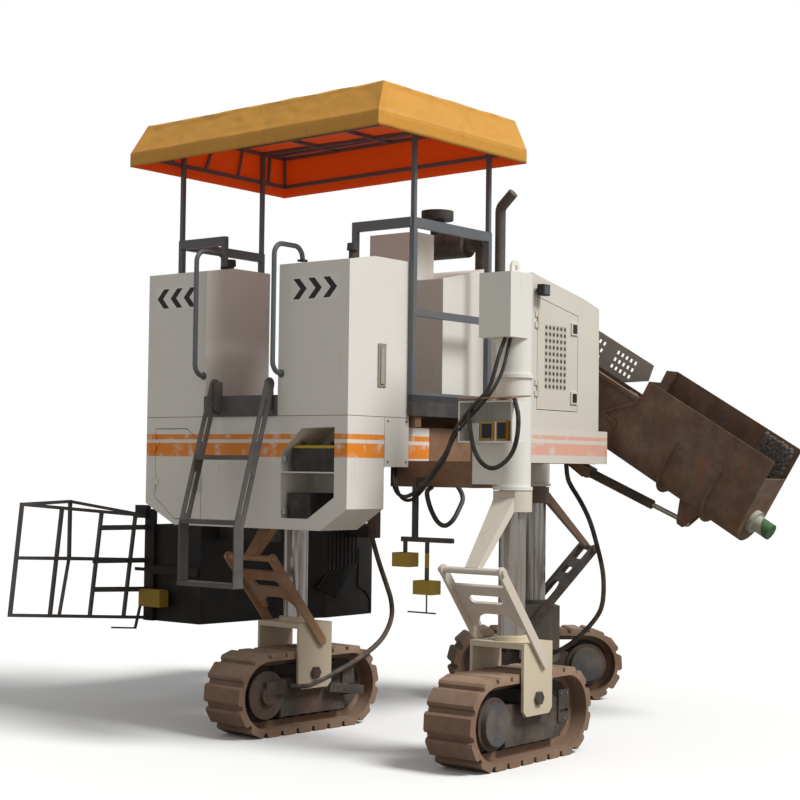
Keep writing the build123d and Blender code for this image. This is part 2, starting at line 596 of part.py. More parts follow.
nodes["canopy_cover"] = canopy_cover()


def share_of(p, q, share, z):
    """The point at a share of the way from p to q, at height z."""
    return (p[0] + (q[0] - p[0]) * share, p[1] + (q[1] - p[1]) * share, z)


def canopy_frame():
    gap = CANOPY_SKIN + CANOPY_GAP + TUBE / 2
    eave = CANOPY_EAVE_Z + CANOPY_HEM - TUBE / 2
    top = CANOPY_TOP_Z - CANOPY_SKIN - 0.3 - TUBE / 2
    low, high = inset(hem_corners, gap), inset(top_corners, gap)
    parts = []
    for ring, z in ((low, eave), (high, top)):
        for i, corner in enumerate(ring):
            parts.append(bar((*ring[i - 1], z), (*corner, z), TUBE, TUBE))
            parts.append(box((corner[0] - TUBE / 2, corner[0] + TUBE / 2), (corner[1] - TUBE / 2, corner[1] + TUBE / 2),
                             (z - TUBE / 2, z + TUBE / 2)))
    for p, q in zip(low, high):
        parts.append(bar((*p, eave), (*q, top), TUBE, TUBE))
    for i, j in ((0, 1), (3, 2)):
        for share in STIFFENERS_AT:
            parts.append(bar(share_of(low[i], low[j], share, eave), share_of(high[i], high[j], share, top), TUBE - 8, TUBE - 8))
    for share in LONG_BARS_AT:
        parts.append(bar(share_of(high[0], high[3], share, top), share_of(high[1], high[2], share, top), TUBE, TUBE))
    for share in CROSS_BARS_AT:
        parts.append(bar(share_of(high[0], high[1], share, top), share_of(high[3], high[2], share, top), TUBE, TUBE))
    for x in POST_X:
        y0, y1 = [p[1] + (q[1] - p[1]) * (x - p[0]) / (q[0] - p[0]) for p, q in ((high[0], high[1]), (high[3], high[2]))]
        parts.append(box((x - TUBE / 2, x + TUBE / 2), (y0, y1), (top - TUBE / 2, top + TUBE / 2)))
        for y in POST_Y:
            parts.append(box((x - CANOPY_POST / 2, x + CANOPY_POST / 2), (y - CANOPY_POST / 2, y + CANOPY_POST / 2),
                             (RAIL_TOP_Z, top - TUBE / 2)))
    return fuse(parts)


nodes["canopy_frame"] = canopy_frame()

# Control box on the right column, tray below it, work lamp on the hood
right = LEGS[0]
CONTROL_BOX = ((520.0, 745.0), (-1066.0, -790.0), (3050.0, 3520.0))
nodes["control_box"] = box(*CONTROL_BOX) - Pos(right[1], right[2], 3300) * Cylinder(HOUSING_R + 0.5, 600)
TRAY = ((430.0, 630.0), (-1150.0, -680.0), (2290.0, 2590.0))
tray_void = box((TRAY[0][0] - 1, TRAY[0][1] - 12), (TRAY[1][0] + 12, TRAY[1][1] - 12), (TRAY[2][0] + 12, TRAY[2][1] - 12))
nodes["control_tray"] = fuse([box(*TRAY) - tray_void,
                              box((450, 560), (-1000, -870), (TRAY[2][0] + 12, TRAY[2][0] + 150)),
                              box((450, 560), (-850, -770), (TRAY[2][0] + 12, TRAY[2][0] + 140)),
                              box((TRAY[0][1] - 1, right[1] - 100), (-1010, -950), (2400, 2480))])
nodes["control_tray"] -= Pos(right[1], right[2], 2400) * Cylinder(HOUSING_R + 0.5, 900)
nodes["work_lamp"] = fuse([box((2010, 2110), (HOOD_Y[0] - 90, HOOD_Y[0] - 30), (3520, 3610)),
                           box((2045, 2075), (HOOD_Y[0] - 35, HOOD_Y[0]), (3545, 3585))])


# Track: shoes round a chain, one closed loop
def loop_frame(s, half, radius):
    """Centre, tangent angle and normal of the pitch line at arc length s, clockwise from the top rear."""
    straight = 2 * half
    arc = math.pi * radius
    total = 2 * (straight + arc)
    s %= total
    if s < straight:
        return (-half + s, radius), 90.0
    s -= straight
    if s < arc:
        a = 90.0 - math.degrees(s / radius)
        return (half + radius * math.cos(math.radians(a)), radius * math.sin(math.radians(a))), a
    s -= arc
    if s < straight:
        return (half - s, -radius), -90.0
    s -= straight
    a = -90.0 - math.degrees(s / radius)
    return (-half + radius * math.cos(math.radians(a)), radius * math.sin(math.radians(a))), a


def stadium(radius, half, y):
    """A solid round two wheels, from y[0] to y[1]."""
    width = y[1] - y[0]
    face = Plane(origin=(0, y[1], 0), z_dir=(0, -1, 0), x_dir=(1, 0, 0)) * SlotCenterToCenter(2 * half, 2 * radius)
    return extrude(face, amount=width)


def track():
    half = (TRACK_L - TRACK_H) / 2
    outer = TRACK_H / 2
    pitch_r = outer - SHOE_T
    total = 4 * half + 2 * math.pi * pitch_r
    count = round(total / (SHOE_LEN + SHOE_GAP))
    points = []
    for i in range(count):
        (cx, cz), angle = loop_frame((i + 0.5) * total / count, half, pitch_r)
        n = (math.cos(math.radians(angle)), math.sin(math.radians(angle)))
        t = (n[1], -n[0])
        for along, out in ((-SHOE_LEN / 2, 0), (-SHOE_LEN / 2, SHOE_T - SHOE_BEVEL), (-SHOE_FLAT / 2, SHOE_T),
                           (SHOE_FLAT / 2, SHOE_T), (SHOE_LEN / 2, SHOE_T - SHOE_BEVEL), (SHOE_LEN / 2, 0)):
            points.append((cx + t[0] * along + n[0] * out, cz + t[1] * along + n[1] * out))
    half_w = TRACK_W / 2
    belt = prism_xz(points, (-half_w, half_w)) - stadium(pitch_r - CHAIN_T, half, (-half_w - 1, half_w + 1))
    inner_r = pitch_r - CHAIN_T - LINK_T
    links = stadium(pitch_r - CHAIN_T, half, (-LINK_W / 2, LINK_W / 2)) - stadium(inner_r, half, (-LINK_W, LINK_W))
    return Pos(0, 0, outer) * fuse([belt, links])


# Track frame: box beam, idler, bottom rollers between cheeks, and the pivot pin of the yoke
def track_frame(side):
    half = (TRACK_L - TRACK_H) / 2
    axle_z = TRACK_H / 2
    rail_z = SHOE_T + CHAIN_T + LINK_T
    roller_z = rail_z + ROLLER_R + 0.3
    beam = box(BOX_X, (-BOX_W / 2, BOX_W / 2), BOX_Z)
    beam -= rod((-half, -SPROCKET_W / 2 - 15, axle_z), (-half, SPROCKET_W / 2 + 15, axle_z), WHEEL_R + 20)
    parts = [beam]
    for y in (-BOX_W / 2, BOX_W / 2 - CHEEK_T):
        parts.append(box(BOX_X, (y, y + CHEEK_T), (roller_z - 25, BOX_Z[0])))
        parts.append(box((BOX_X[1], half + 60), (y, y + CHEEK_T), (axle_z - 70, axle_z + 70)))
        parts.append(box((-half - 90, BOX_X[0]), (y, y + CHEEK_T), (axle_z - 90, axle_z + 90)))
    middle_x = (BOX_X[0] + BOX_X[1]) / 2
    for i in range(ROLLER_COUNT):
        x = middle_x + (i - (ROLLER_COUNT - 1) / 2) * ROLLER_PITCH
        parts.append(rod((x, -ROLLER_W / 2, roller_z), (x, ROLLER_W / 2, roller_z), ROLLER_R))
        parts.append(rod((x, -BOX_W / 2, roller_z), (x, BOX_W / 2, roller_z), 20))
    parts.append(rod((half, -IDLER_W, axle_z), (half, IDLER_W, axle_z), WHEEL_R))
    parts.append(rod((half, -BOX_W / 2, axle_z), (half, BOX_W / 2, axle_z), 30))
    plate_x, plate_t, plate_z = TENSION_PLATE
    for y in (-BOX_W / 2 - plate_t, BOX_W / 2):
        plate = box((half + plate_x[0], half + plate_x[1]), (y, y + plate_t), plate_z)
        slot = Plane(origin=(half, y - 1, axle_z), x_dir=(1, 0, 0), z_dir=(0, 1, 0)) * SlotOverall(*TENSION_SLOT)
        parts.append(plate - extrude(slot, amount=plate_t + 2))
    x0, z0, x1, z1, guard_h, guard_t = GUARD_BAR
    guard_y = side * (TRACK_W / 2 + 5 + guard_t / 2)
    parts.append(bar((half + x0, guard_y, z0), (half + x1, guard_y, z1), guard_t, guard_h))
    link_y = sorted((side * BOX_W / 2, side * (TRACK_W / 2 + 6)))
    parts.append(box((half - 15, half + 15), link_y, (axle_z - 40, axle_z - 5)))
    cheek_out = TRACK_W / 2 + YOKE_GAP + YOKE_T
    reach = cheek_out + 25
    parts.append(rod((0, -reach, YOKE_PIN_Z), (0, reach, YOKE_PIN_Z), YOKE_PIN_R))
    for sign in (-1, 1):
        head = Plane(origin=(0, sign * (cheek_out + 0.3), YOKE_PIN_Z), x_dir=(1, 0, 0), z_dir=(0, sign, 0))
        parts.append(extrude(head * RegularPolygon(PIN_HEAD_R, 6), amount=22))
    parts.append(box((-90, 90), (-BOX_W / 2, BOX_W / 2), (BOX_Z[1], YOKE_PIN_Z + 60)))
    return fuse(parts) - rod((-half, -BOX_W, axle_z), (-half, BOX_W, axle_z), AXLE_R + 0.3)


# Drive: wheel between the cheeks, its axle in their bores, a disc on each side and the motor on one of them
def drive(side):
    half = (TRACK_L - TRACK_H) / 2
    axle_z = TRACK_H / 2
    x = -half
    seat = BOX_W / 2 + 0.3
    disc = seat + DISC_T
    parts = [rod((x, -SPROCKET_W / 2, axle_z), (x, SPROCKET_W / 2, axle_z), WHEEL_R),
             rod((x, -disc, axle_z), (x, disc, axle_z), AXLE_R)]
    for sign in (-1, 1):
        parts.append(rod((x, sign * seat, axle_z), (x, sign * disc, axle_z), DISC_R))
        parts.append(rod((x, sign * disc, axle_z), (x, sign * (disc + HUB_T), axle_z), HUB_R))
    motor = sorted((side * disc, side * (TRACK_W / 2 + 4)))
    parts.append(box((x - 40, x + DISC_R - 16), motor, (axle_z + 5, axle_z + 108)))
    return fuse(parts)


# Leg: chrome column, steering collar, yoke over the track, and the folding arms that turn it
def leg_column():
    outer = TRACK_W / 2 + YOKE_GAP + YOKE_T
    inner = TRACK_W / 2 + YOKE_GAP
    plate = ((-YOKE_X, YOKE_TOP_Z), (-YOKE_X, YOKE_BOTTOM_Z + 40), (-YOKE_X + 40, YOKE_BOTTOM_Z),
             (YOKE_X - 40, YOKE_BOTTOM_Z), (YOKE_X, YOKE_BOTTOM_Z + 40), (YOKE_X, YOKE_TOP_Z))
    parts = [prism_xz(plate, y) for y in ((-outer, -inner), (inner, outer))]
    parts.append(box((-YOKE_X, YOKE_X), (-inner, inner), (YOKE_TOP_Z - 40, YOKE_TOP_Z)))
    parts.append(rod((0, 0, YOKE_TOP_Z), (0, 0, YOKE_TOP_Z + 35), COLUMN_R + 30))
    parts.append(rod((0, 0, YOKE_TOP_Z), (0, 0, COLUMN_TOP_Z), COLUMN_R))
    parts.append(rod((0, 0, RING_Z[0]), (0, 0, RING_Z[1]), RING_R))
    body = fuse(parts)
    body -= box((-RING_R - 1, -RING_R + RING_FLAT), (-ARM_TOP_W / 2 - 2, ARM_TOP_W / 2 + 2), (RING_Z[0] - 1, RING_Z[1] + 1))
    body -= rod((0, -outer - 1, YOKE_PIN_Z), (0, outer + 1, YOKE_PIN_Z), YOKE_PIN_R + 0.3)
    reach = outer + LINK_CLEAR
    for y in ((-reach, -outer), (outer, reach)):
        body += rod((FOOT_X, y[0], FOOT_Z), (FOOT_X, y[1], FOOT_Z), LINK_PLATE_W / 2)
    return body


def torque_link():
    outer = TRACK_W / 2 + YOKE_GAP + YOKE_T + LINK_CLEAR
    half_top = ARM_TOP_W / 2
    half_knee = ARM_KNEE_W / 2
    root_x = -RING_R + RING_FLAT
    upper = loft([
        make_face(Polyline((root_x, -half_top, ARM_Z[0]), (root_x, half_top, ARM_Z[0]), (root_x, half_top, ARM_Z[1]),
                           (root_x, -half_top, ARM_Z[1]), close=True)),
        make_face(Polyline((KNEE_X + 10, -half_knee, KNEE_Z - 25), (KNEE_X + 10, half_knee, KNEE_Z - 25),
                           (KNEE_X - 10, half_knee, KNEE_Z + 25), (KNEE_X - 10, -half_knee, KNEE_Z + 25), close=True)),
    ])
    shaft = rod((KNEE_X, -outer - LINK_PLATE_T - 20, KNEE_Z), (KNEE_X, outer + LINK_PLATE_T + 20, KNEE_Z), KNEE_R)
    knee = Vector(KNEE_X, 0, KNEE_Z)
    foot = Vector(FOOT_X, 0, FOOT_Z)
    along = (foot - knee).normalized()
    length = (foot - knee).length
    parts = [upper, shaft]
    for y in (-outer - LINK_PLATE_T, outer):
        plane = Plane(origin=knee + along * (length / 2) + Vector(0, y, 0), x_dir=along, z_dir=(0, 1, 0))
        parts.append(extrude(plane * SlotCenterToCenter(length, LINK_PLATE_W), amount=LINK_PLATE_T))
    web_plane = Plane(origin=knee + along * (0.4 * length), x_dir=(0, 1, 0), z_dir=along.cross(Vector(0, 1, 0)))
    web = Rectangle(2 * outer, 0.46 * length)
    web -= Pos(0, 0.08 * length) * SlotOverall(0.6 * outer * 2, 0.09 * length)
    web -= Pos(0, -0.23 * length) * SlotOverall(0.72 * outer * 2, 0.3 * length)
    parts.append(extrude(web_plane * web, amount=LINK_PLATE_T))
    return fuse(parts)


def leg_housing(top):
    body = rod((0, 0, HOUSING_BOTTOM_Z), (0, 0, top), HOUSING_R)
    body += rod((0, 0, HOUSING_BOTTOM_Z), (0, 0, HOUSING_BOTTOM_Z + BAND_H), HOUSING_R + BAND_OUT)
    body -= rod((0, 0, HOUSING_BOTTOM_Z - 1), (0, 0, COLUMN_TOP_Z + 20), COLUMN_BORE)
    return body


for name, x, y, heading, side, top in LEGS:
    place = Pos(x, y, 0) * Rot(0, 0, heading)
    nodes[f"leg_column_{name}"] = place * leg_column()
    nodes[f"torque_link_{name}"] = place * torque_link()
    nodes[f"track_frame_{name}"] = place * track_frame(side)
    nodes[f"track_drive_{name}"] = place * drive(side)
    nodes[f"track_loop_{name}"] = place * track()
    nodes[f"leg_housing_{name}"] = Pos(x, y, 0) * leg_housing(top)

_, rx, ry, _, _, rtop = LEGS[0]
housing = nodes["leg_housing_right"]
housing += rod((rx, ry, HOUSING_BAND_Z), (rx, ry, HOUSING_BAND_Z + BAND_H), HOUSING_R + BAND_OUT)
housing -= rod((rx, ry, HOUSING_BOTTOM_Z - 1), (rx, ry, COLUMN_TOP_Z + 20), COLUMN_BORE)
bracket = box(BRACKET_X, (ry, PLATE_Y[0]), BRACKET_Z) - rod((rx, ry, 1900), (rx, ry, 2500), HOUSING_R - 5)
housing = fuse([housing, *bracket.solids().filter_by(lambda s: s.center().Y > ry + HOUSING_R)])
eye_face = Circle(55) + Pos(0, -22.5) * Rectangle(110, 45) - Circle(EYE_BORE_R)
eye = extrude(Plane(origin=(rx, ry + EYE_PLATE_T / 2, rtop + 45), x_dir=(1, 0, 0), z_dir=(0, -1, 0)) * eye_face, amount=EYE_PLATE_T)
nodes["leg_housing_right"] = fuse([housing, eye])

# Conveyor: U trough with a hopper, guard plate, screw and its motor
slope = math.radians(HOPPER_SLOPE)
U_DIR = Vector(0, -math.cos(slope), -math.sin(slope))
V_DIR = Vector(0, -math.sin(slope), math.cos(slope))
MID_X = sum(TROUGH_X) / 2
TROUGH_R = (TROUGH_X[1] - TROUGH_X[0]) / 2


def on_trough(u, v, x=MID_X):
    """A point u along the screw and v above the trough's lowest line."""
    p = Vector(x, HOPPER_CORNER[0], HOPPER_CORNER[1]) + U_DIR * u + V_DIR * v
    return (p.X, p.Y, p.Z)


def u_section(near_h, far_h, out=0.0):
    """The trough's outline across the screw, as a face in its own plane."""
    r = TROUGH_R + out
    shape = Pos(0, TROUGH_R) * Circle(r)
    shape += Pos(-r / 2, (TROUGH_R + near_h) / 2) * Rectangle(r, near_h - TROUGH_R)
    shape += Pos(r / 2, (TROUGH_R + far_h) / 2) * Rectangle(r, far_h - TROUGH_R)
    return shape


def u_plane(u):
    return Plane(origin=on_trough(u, 0), x_dir=(1, 0, 0), z_dir=U_DIR)


def u_plate(u, near_h, far_h, out=0.0):
    """A plate across the screw at u, one plate thick."""
    return extrude(u_plane(u) * u_section(near_h, far_h, out), amount=TROUGH_PLATE)


def u_wall(u0, u1, near_h, far_h):
    """The bent plate of the trough from u0 to u1, open above."""
    outer = extrude(u_plane(u0) * u_section(near_h, far_h), amount=u1 - u0)
    inner = extrude(u_plane(u0 - 1) * u_section(far_h + 200, far_h + 200, -TROUGH_PLATE), amount=u1 - u0 + 2)
    return outer - inner


def trough_lug(u, v, half_foot, x):
    """A lug under the trough round the pin at (u, v), from x[0] to x[1]."""
    foot = TROUGH_R / 2
    outline = ((u - half_foot, foot), (u + half_foot, foot), (u + LUG_R, v - 0.6 * LUG_R), (u + 0.6 * LUG_R, v - LUG_R),
               (u - 0.6 * LUG_R, v - LUG_R), (u - LUG_R, v - 0.6 * LUG_R))
    inner = rod(on_trough(u - 400, TROUGH_R), on_trough(u + 400, TROUGH_R), TROUGH_R - TROUGH_PLATE / 2)
    return prism_yz([on_trough(*p)[1:] for p in outline], x) - inner


def to_trough(y, z):
    """The u and v of a point given by its y and z."""
    p = Vector(0, y - HOPPER_CORNER[0], z - HOPPER_CORNER[1])
    return p.dot(U_DIR), p.dot(V_DIR)


def pair(centre, gap, thick):
    """The x ranges of two plates that stand gap apart about a centre."""
    return ((centre - gap / 2 - thick, centre - gap / 2), (centre + gap / 2, centre + gap / 2 + thick))


FAR_H = HOPPER_H + FAR_WALL_RISE
hopper = u_wall(0, HOPPER_LEN, HOPPER_H, FAR_H)
trough = u_wall(-TROUGH_LEN, TROUGH_PLATE, NEAR_H, TROUGH_H)
end_plate = u_plate(HOPPER_LEN - TROUGH_PLATE, END_PLATE_H, END_PLATE_H)
end_plate -= rod(on_trough(HOPPER_LEN - 50, TROUGH_R), on_trough(HOPPER_LEN + 50, TROUGH_R), SCREW_SHAFT_R + 0.5)
neck = u_plate(0, HOPPER_H, FAR_H) - extrude(u_plane(-1) * u_section(NEAR_H - 1, TROUGH_H - 1), amount=50)
ribs = [u_plate(u, RIB_H, RIB_H, RIB_OUT) - extrude(u_plane(u - 1) * u_section(FAR_H, FAR_H, -1), amount=50)
        for u in RIB_AT]
lugs = [trough_lug(*to_trough(*CYL_EYE), 150, x) for x in pair(MID_X, EYE_W + 2 * SIDE_GAP, LUG_T)]
lugs += [trough_lug(*to_trough(*PIVOT), 110, x) for x in pair(MID_X, PIVOT_GAP, LUG_T)]
rim_x = TROUGH_X[0] - RIM / 2
near_bars = [bar(on_trough(-TROUGH_LEN, NEAR_H - RIM / 2, rim_x), on_trough(0, NEAR_H - RIM / 2, rim_x), RIM, RIM)]
near_bars += [bar(on_trough(*p, TROUGH_X[0] - STIFFENER[1] / 2), on_trough(*q, TROUGH_X[0] - STIFFENER[1] / 2),
                  STIFFENER[1], STIFFENER[0]) for p, q in NEAR_BARS]
nodes["conveyor_trough"] = fuse([hopper, trough, end_plate, neck, *ribs, *lugs, *near_bars])
nodes["conveyor_trough"] -= rod((TROUGH_X[0], *PIVOT), (TROUGH_X[1], *PIVOT), PIVOT_R + 0.5)
nodes["conveyor_trough"] += rod((MID_X - EYE_W / 2 - SIDE_GAP - LUG_T, *CYL_EYE),
                                (MID_X + EYE_W / 2 + SIDE_GAP + LUG_T, *CYL_EYE), EYE_PIN_R)

guard_plane = Plane(origin=on_trough(0, 0, TROUGH_X[1]), x_dir=U_DIR, z_dir=(-1, 0, 0))
flip = -1 if guard_plane.y_dir.dot(V_DIR) < 0 else 1
guard_face = make_face(Polyline(*[(u, flip * v) for u, v in GUARD], close=True))
guard_face -= [Pos(u, flip * v) * place * Rectangle(*GUARD_HOLE) for u, v, columns, rows in GUARD_HOLES
               for place in GridLocations(*GUARD_PITCH, columns, rows)]
nodes["conveyor_guard"] = extrude(guard_plane * guard_face, amount=TROUGH_PLATE)


def screw():
    shaft = rod(on_trough(-TROUGH_LEN + 60, TROUGH_R), on_trough(HOPPER_LEN + 30, TROUGH_R), SCREW_SHAFT_R)
    turns = 6
    helix = Helix(pitch=SCREW_PITCH, height=turns * SCREW_PITCH, radius=SCREW_SHAFT_R)
    mid_r = (SCREW_SHAFT_R - 4 + SCREW_R) / 2
    start = Plane(origin=(mid_r, 0, 0), x_dir=(1, 0, 0), z_dir=(0, 1, 0))
    blade = sweep(start * Rectangle(SCREW_R - SCREW_SHAFT_R + 4, SCREW_T), helix, is_frenet=True)
    place = Plane(origin=on_trough(HOPPER_LEN - 60, TROUGH_R), x_dir=(1, 0, 0), z_dir=U_DIR * -1).location
    return shaft, place * blade


shaft, blade = screw()
nodes["conveyor_screw"] = fuse([shaft, blade])
m0 = on_trough(HOPPER_LEN + 40, TROUGH_R)
m1 = on_trough(HOPPER_LEN + 190, TROUGH_R)
nodes["screw_motor"] = fuse([rod(on_trough(HOPPER_LEN, TROUGH_R), m0, 100), rod(m0, m1, 70)]) - rod(
    on_trough(HOPPER_LEN - 10, TROUGH_R), on_trough(HOPPER_LEN + 32, TROUGH_R), SCREW_SHAFT_R + 0.5)

# Conveyor mount on the front beam, lift cylinder in two pieces
cheek = ((PIVOT[0] - 60, FRONT_BEAM_TOP), (PIVOT[0] + 60, FRONT_BEAM_TOP), (PIVOT[0] + 35, PIVOT[1] + 30),
         (PIVOT[0] - 35, PIVOT[1] + 30))
cheek_gap = PIVOT_GAP + 2 * LUG_T + 2 * SIDE_GAP
mount_parts = [prism_yz(cheek, x) for x in pair(MID_X, cheek_gap, CHEEK_T)]
pin_reach = cheek_gap / 2 + CHEEK_T + 10
mount_parts.append(rod((MID_X - pin_reach, *PIVOT), (MID_X + pin_reach, *PIVOT), PIVOT_R))
base_ears = [prism_yz(((FRONT_BEAM_Y[0], FRAME_Z[0]), (FRONT_BEAM_Y[0] + 150, FRAME_Z[0]),
                       (CYL_BASE[0] + 40, CYL_BASE[1] - 40), (CYL_BASE[0] - 40, CYL_BASE[1] - 40),
                       (CYL_BASE[0] - 40, CYL_BASE[1] + 30)), x)
             for x in pair(MID_X, BASE_W + 2 * SIDE_GAP, LUG_T)]
pin_reach = BASE_W / 2 + SIDE_GAP + LUG_T + 8
base_ears.append(rod((MID_X - pin_reach, *CYL_BASE), (MID_X + pin_reach, *CYL_BASE), BASE_PIN_R))
nodes["conveyor_mount"] = Compound([fuse(mount_parts), fuse(base_ears)])

base = Vector(MID_X, *CYL_BASE)
tip = Vector(MID_X, *CYL_EYE)
stroke_dir = (tip - base).normalized()
barrel_end = base + stroke_dir * BARREL_LEN
barrel = rod((MID_X - BASE_W / 2, *CYL_BASE), (MID_X + BASE_W / 2, *CYL_BASE), BASE_R)
barrel += rod(tuple(base), tuple(barrel_end), CYL_R)
barrel -= rod((MID_X - BASE_W, *CYL_BASE), (MID_X + BASE_W, *CYL_BASE), BASE_PIN_R + 0.5)
barrel -= rod(tuple(base + stroke_dir * 120), tuple(barrel_end + stroke_dir * 10), ROD_R + 0.5)
nodes["lift_barrel"] = barrel
piston_rod = rod(tuple(base + stroke_dir * 200), tuple(tip - stroke_dir * EYE_PIN_R), ROD_R)
piston_rod += rod((MID_X - EYE_W / 2, *CYL_EYE), (MID_X + EYE_W / 2, *CYL_EYE), EYE_R)
piston_rod -= rod((MID_X - EYE_W, *CYL_EYE), (MID_X + EYE_W, *CYL_EYE), EYE_PIN_R + EYE_PLAY)
nodes["lift_rod"] = piston_rod

# Mould on the left: walls open above and below, a fluted inner plate, and the end post that carries the cage
mould_plan = [(MOULD_X[0] + along, MOULD_Y[0] + back) for along, back in MOULD_STEP]
mould_plan += [(MOULD_X[1], MOULD_Y[0]), (MOULD_X[1], MOULD_Y[1]), (MOULD_X[0], MOULD_Y[1])]
mould = extrude(plan_face(mould_plan, MOULD_Z[0]), amount=MOULD_Z[1] - MOULD_Z[0], dir=(0, 0, 1))
mould -= extrude(plan_face(inset(mould_plan, MOULD_WALL), MOULD_Z[0] - 1), amount=MOULD_Z[1] - MOULD_Z[0] + 2, dir=(0, 0, 1))
post_t, post_w, post_top = END_POST
post_x = (MOULD_X[0] - post_t, MOULD_X[0])
end_parts = [
    box(post_x, (MOULD_Y[1] - post_w + 10, MOULD_Y[1] + 10), (MOULD_Z[0], post_top)),
    box((post_x[0] - FITTING_OUT, post_x[1]), (MOULD_Y[1] + FITTING_Y[0], MOULD_Y[1] + FITTING_Y[1]), FITTING_Z),
    box((post_x[0] + 12, post_x[1]), (MOULD_Y[1], MOULD_Y[1] + 148), CLAMP_Z),
    box(post_x, (MOULD_Y[0] + MOULD_STEP[0][1] + 10, MOULD_Y[1] - 100), CHANNEL_Z),
]
flutes = []
for i in range(FLUTES):
    share = i / (FLUTES - 1)
    x = FLUTE_X[0] + share * (FLUTE_X[1] - FLUTE_X[0])
    knee_z = FLUTE_Z[1] + share * (FLUTE_Z[2] - FLUTE_Z[1])
    (foot_x0, foot_z0), (foot_x1, foot_z1) = FLUTE_FOOT
    foot = (foot_x0 + share * (foot_x1 - foot_x0), MOULD_Y[0], foot_z0 + share * (foot_z1 - foot_z0))
    flutes.append(rod((x, MOULD_Y[0], FLUTE_Z[0]), (x, MOULD_Y[0], knee_z), FLUTE_R))
    flutes.append(rod((x, MOULD_Y[0], knee_z), foot, FLUTE_R))
end_plate = prism_xz(MOULD_END, (MOULD_Y[0] - 14, MOULD_Y[0]))
HANGER_X = (1500.0, 2900.0)
HANGER_W = 80.0
HANGER_Z = (FRAME_Z[0], FRAME_Z[0] + 200)
CROSS_Z = (2000.0, 2100.0)
hanger_y = (DECK_Y[1], DECK_Y[1] + HANGER_W)


def wall_y(x):
    """Where the mould's right wall stands at x."""
    for (x0, y0), (x1, y1) in zip(mould_plan, mould_plan[1:]):
        if x0 <= x < x1:
            return y0 + (y1 - y0) * (x - x0) / (x1 - x0)
    return MOULD_Y[0]


arms = [box((x, x + HANGER_W), (hanger_y[1], wall_y(x) + MOULD_WALL / 2), (MOULD_Z[1] - 120, MOULD_Z[1])) for x in HANGER_X]
posts = [box((x, x + HANGER_W), hanger_y, (MOULD_Z[1] - 120, HANGER_Z[1])) for x in HANGER_X]
pad = box((HANGER_X[0], HANGER_X[0] + HANGER_W), (RAIL_LEFT_Y + RAIL_W, hanger_y[0]), HANGER_Z)
nodes["mould_body"] = fuse([mould, *arms, *end_parts, *flutes, end_plate])
nodes["mould_hanger"] = fuse([*posts, pad, box((HANGER_X[0], HANGER_X[1] + HANGER_W), hanger_y, CROSS_Z)])


# Step cage behind the mould, from the post: a near panel of thin tubes, three rungs and a shorter far frame
def cage():
    t = CAGE_TUBE

    def near(x, level):
        share = 1 + x / CAGE_LEN
        return (x, CAGE_SKEW[0] + share * (CAGE_SKEW[1] - CAGE_SKEW[0]), level[0] + share * (level[1] - level[0]))

    top, middle, bottom = CAGE_LEVELS
    rear_top, rear_bottom = CAGE_UPRIGHTS[0]
    rear_middle = (rear_top + rear_bottom) / 2
    parts = [bar(near(x, level), near(20, level), t, t) for x, level in
             ((rear_top - t / 2, top), (rear_middle, middle), (rear_bottom - t / 2, bottom))]
    parts += [bar(near(x_top, top), near(x_bottom, bottom), t, t) for x_top, x_bottom in CAGE_UPRIGHTS]
    parts += [bar((x, near(x, top)[1], z0), (20, near(20, top)[1], z1), RUNG_T, RUNG_H) for x, z0, z1 in RUNGS]
    far_x, far_y, *far_z = CAGE_FAR
    for z, level, rear in zip(far_z, (top, middle), (rear_top, rear_middle)):
        parts.append(bar(near(rear, level), (far_x, far_y, z), t, t))
        parts.append(bar((far_x, far_y, z), near(20, level), t, t))
    parts.append(box((far_x - t / 2, far_x + t / 2), (far_y - t / 2, far_y + t / 2), (far_z[1] - t / 2, far_z[0] + t / 2)))
    parts.append(bar((far_x, far_y, far_z[1]), near(CAGE_BRACE, bottom), t, t))
    return fuse(parts) - box((0, 200), (-300, 300), (500, 2000)) - box((-FITTING_OUT, 200), FITTING_Y, FITTING_Z)


nodes["step_cage"] = Pos(post_x[0], MOULD_Y[1], 0) * cage()

# Grade and line sensors on their arms: one beside the right outrigger, one behind the mould
SENSOR_X = 600.0
ARM = 36.0
nodes["sensor_right"] = fuse([
    box((SENSOR_X - ARM / 2, OUTRIGGER_X[0]), (-188, -152), (2000, 2000 + ARM)),
    box((SENSOR_X - ARM / 2, SENSOR_X + ARM / 2), (-188, -152), (1552, 2000)),
    box((SENSOR_X - ARM / 2, SENSOR_X + ARM / 2), (-520, -50), (1552, 1552 + ARM)),
    box((SENSOR_X - 12, SENSOR_X + 12), (-92, -68), (1469, 1552)),
    box((SENSOR_X - 12, SENSOR_X + 12), (-297, -273), (1269, 1552)),
    box((SENSOR_X - 60, SENSOR_X + 60), (-160, 0), (1364, 1469)),
    box((SENSOR_X - 60, SENSOR_X + 60), (-370, -200), (1167, 1269)),
    rod((SENSOR_X, -285, 1030), (SENSOR_X, -285, 1167), 6),
    rod((SENSOR_X, -370, 1030), (SENSOR_X, -110, 1030), 6),
])
nodes["sensor_left"] = fuse([
    box((post_x[0] - 110, post_x[0]), (MOULD_Y[1] - 310, MOULD_Y[1] - 40), (827, 979)),
    bar((post_x[0] - 55, MOULD_Y[1] - 28, 900), (post_x[0] - 55, MOULD_Y[1] + 56, 615), 20, 20),
    rod((post_x[0] - 55, MOULD_Y[1] - 42, 900), (post_x[0] - 55, MOULD_Y[1] - 20, 900), 22),
    rod((post_x[0] - 55, MOULD_Y[1] + 46, 618), (post_x[0] - 55, MOULD_Y[1] + 370, 600), 8),
])

